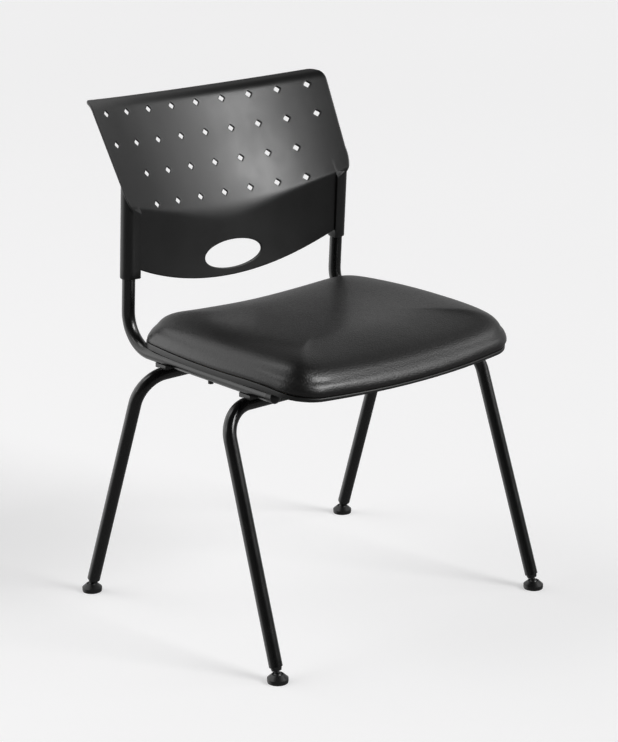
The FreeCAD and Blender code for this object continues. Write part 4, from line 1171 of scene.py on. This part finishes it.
def backrest_screw(side):
    """Pan head screw with a cross recess, in from the rear of a sleeve."""
    node = side + "_backrest_screw"
    low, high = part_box(node)
    middle = Vector((low + high) / 2) / MM
    length = (high.y - low.y) / MM
    head = (high.x - low.x) / MM / 2
    tip = Vector((middle.x, low.y / MM - FEET_MIDDLE, middle.z))
    shank = 2.0
    outline = [(0, 0), (0.9, 0), (shank, 1.8), (shank, length - 2.5), (head - 0.5, length - 2.5)]
    dome = ((1.0, 2.1), (1.0, 1.5), (0.92, 0.8), (0.72, 0.3), (0.4, 0.05), (0.0, 0.0))
    outline += [(head * share, length - below) for share, below in dome]
    screw = turned(node.replace("screw", "pan_head_screw"), outline, tip, "screw_steel", BACKWARDS)
    mouth = tip + BACKWARDS @ Vector((0, 0, length))
    booleaned(screw, "DIFFERENCE", driver_cross(mouth, BACKWARDS, reach=2.2, width=0.45, depth=1.6))
    smooth(screw, 30)
    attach(screw, "chair")
    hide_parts(node)


# ---- studio
# soft panels of the room: where they are, then how their light rises towards their middle
PANELS = (
    ((0.64, 0.73, 0.24), (0.5, 0.0), (0.9, 0.27), (1.0, 0.39)),
    ((-0.60, 0.72, 0.35), (0.7, 0.0), (0.92, 1.2)),
    ((-0.25, 0.93, -0.25), (0.6, 0.0), (0.95, 0.6)),
    ((-0.93, -0.20, 0.30), (0.8, 0.0), (0.95, 0.05)),
    ((0.96, 0.10, 0.26), (0.8, 0.0), (0.95, 0.3)),
    ((0.0, 0.0, -1.0), (0.02, 0.0), (0.12, 0.12)),
)
ROOM_LEVEL = 0.03


def surroundings():
    """Dim room with soft panels, and pale below."""
    world = bpy.data.worlds.new("pale_studio")
    air = Finish("", world, "Generated")
    glow = ROOM_LEVEL
    for way, *stops in PANELS:
        facing = air.node("ShaderNodeVectorMath", {"operation": "DOT_PRODUCT"},
                          air.place, way, output="Value")
        glow = air.ramp(facing, *stops) + glow
    back = air.node("ShaderNodeBackground", {}, glow)
    out = air.tree.nodes.new("ShaderNodeOutputWorld")
    air.tree.links.new(back.socket, out.inputs["Surface"])
    bpy.context.scene.world = world


def floor():
    """Pale paper that lights itself a little, so that shadows stay soft."""
    rim = 64
    far = 40.0
    disc = bpy.data.meshes.new("floor")
    turns = [2 * math.pi * step / rim for step in range(rim)]
    points = [(far * math.cos(turn), far * math.sin(turn), 0.0) for turn in turns]
    disc.from_pydata(points, [], [list(range(rim))])
    ground = bpy.data.objects.new("floor", disc)
    bpy.context.scene.collection.objects.link(ground)
    paper = Finish("pale_paper")
    tint = paper.mixed(paper.noise(0.4, 2, 0.5), (0.6, 0.6, 0.602, 1), (0.63, 0.63, 0.632, 1))
    disc.materials.append(paper.finished(Base_Color=tint, Roughness=0.95, Specular_IOR_Level=0.0,
                                         Emission_Color=(1.0, 0.995, 1.0, 1), Emission_Strength=0.45))
    ground.visible_glossy = False


def lamp(name, kind, way, power, width):
    """A light that shines at the chair's middle from a direction."""
    goal = Vector((0.0, 0.0, 0.5))
    away = 3.0
    data = bpy.data.lights.new(name, kind)
    data.energy = power
    if kind == "SUN":
        data.angle = width
    else:
        data.shape = "SQUARE"
        data.size = width
    made = bpy.data.objects.new(name, data)
    made.location = goal + Vector(way).normalized() * away
    made.rotation_mode = "QUATERNION"
    made.rotation_quaternion = (goal - made.location).to_track_quat("-Z", "Y")
    bpy.context.scene.collection.objects.link(made)


def studio():
    """Plain pale floor and soft lights."""
    bpy.context.scene.view_settings.view_transform = "Standard"
    surroundings()
    floor()
    lamp("key", "SUN", (0.35, -0.78, 0.52), 1.75, width=math.radians(24.0))
    lamp("wide_key", "SUN", (0.66, -0.58, 0.48), 0.7, width=math.radians(40.0))
    lamp("overhead", "AREA", (-0.45, 0.35, 0.82), 9.0, width=1.2)
    lamp("edge", "AREA", (-0.95, 0.25, 0.35), 2.5, width=0.7)


def camera():
    """Camera ahead of the chair, to the sitter's right and above the seat."""
    data = bpy.data.cameras.new("camera")
    data.sensor_width = 36.0
    data.lens = 108.057
    eye = bpy.data.objects.new("camera", data)
    azimuth, elevation, roll = math.radians(-41.174), math.radians(16.994), math.radians(-0.07)
    level = math.cos(elevation)
    back = Vector((math.sin(azimuth) * level, -math.cos(azimuth) * level, math.sin(elevation)))
    eye.rotation_mode = "QUATERNION"
    eye.rotation_quaternion = back.to_track_quat("Z", "Y") @ Matrix.Rotation(roll, 3, "Z").to_quaternion()
    eye.location = placed((-2140.8, -2438.7, 1349.7))
    bpy.context.scene.collection.objects.link(eye)
    bpy.context.scene.camera = eye


def repaint():
    """Give every engineering node its own finish."""
    slots = {part["node"]: part["material_slot"] for part in frame["record"]["subparts"]}
    for name, node in frame["nodes"].items():
        node.data.materials.clear()
        node.data.materials.append(FINISHES[slots[name]])


camera()
studio()
repaint()
backrest()
seat_tray()
cushion()
for side in SIDES:
    backrest_screw(side)
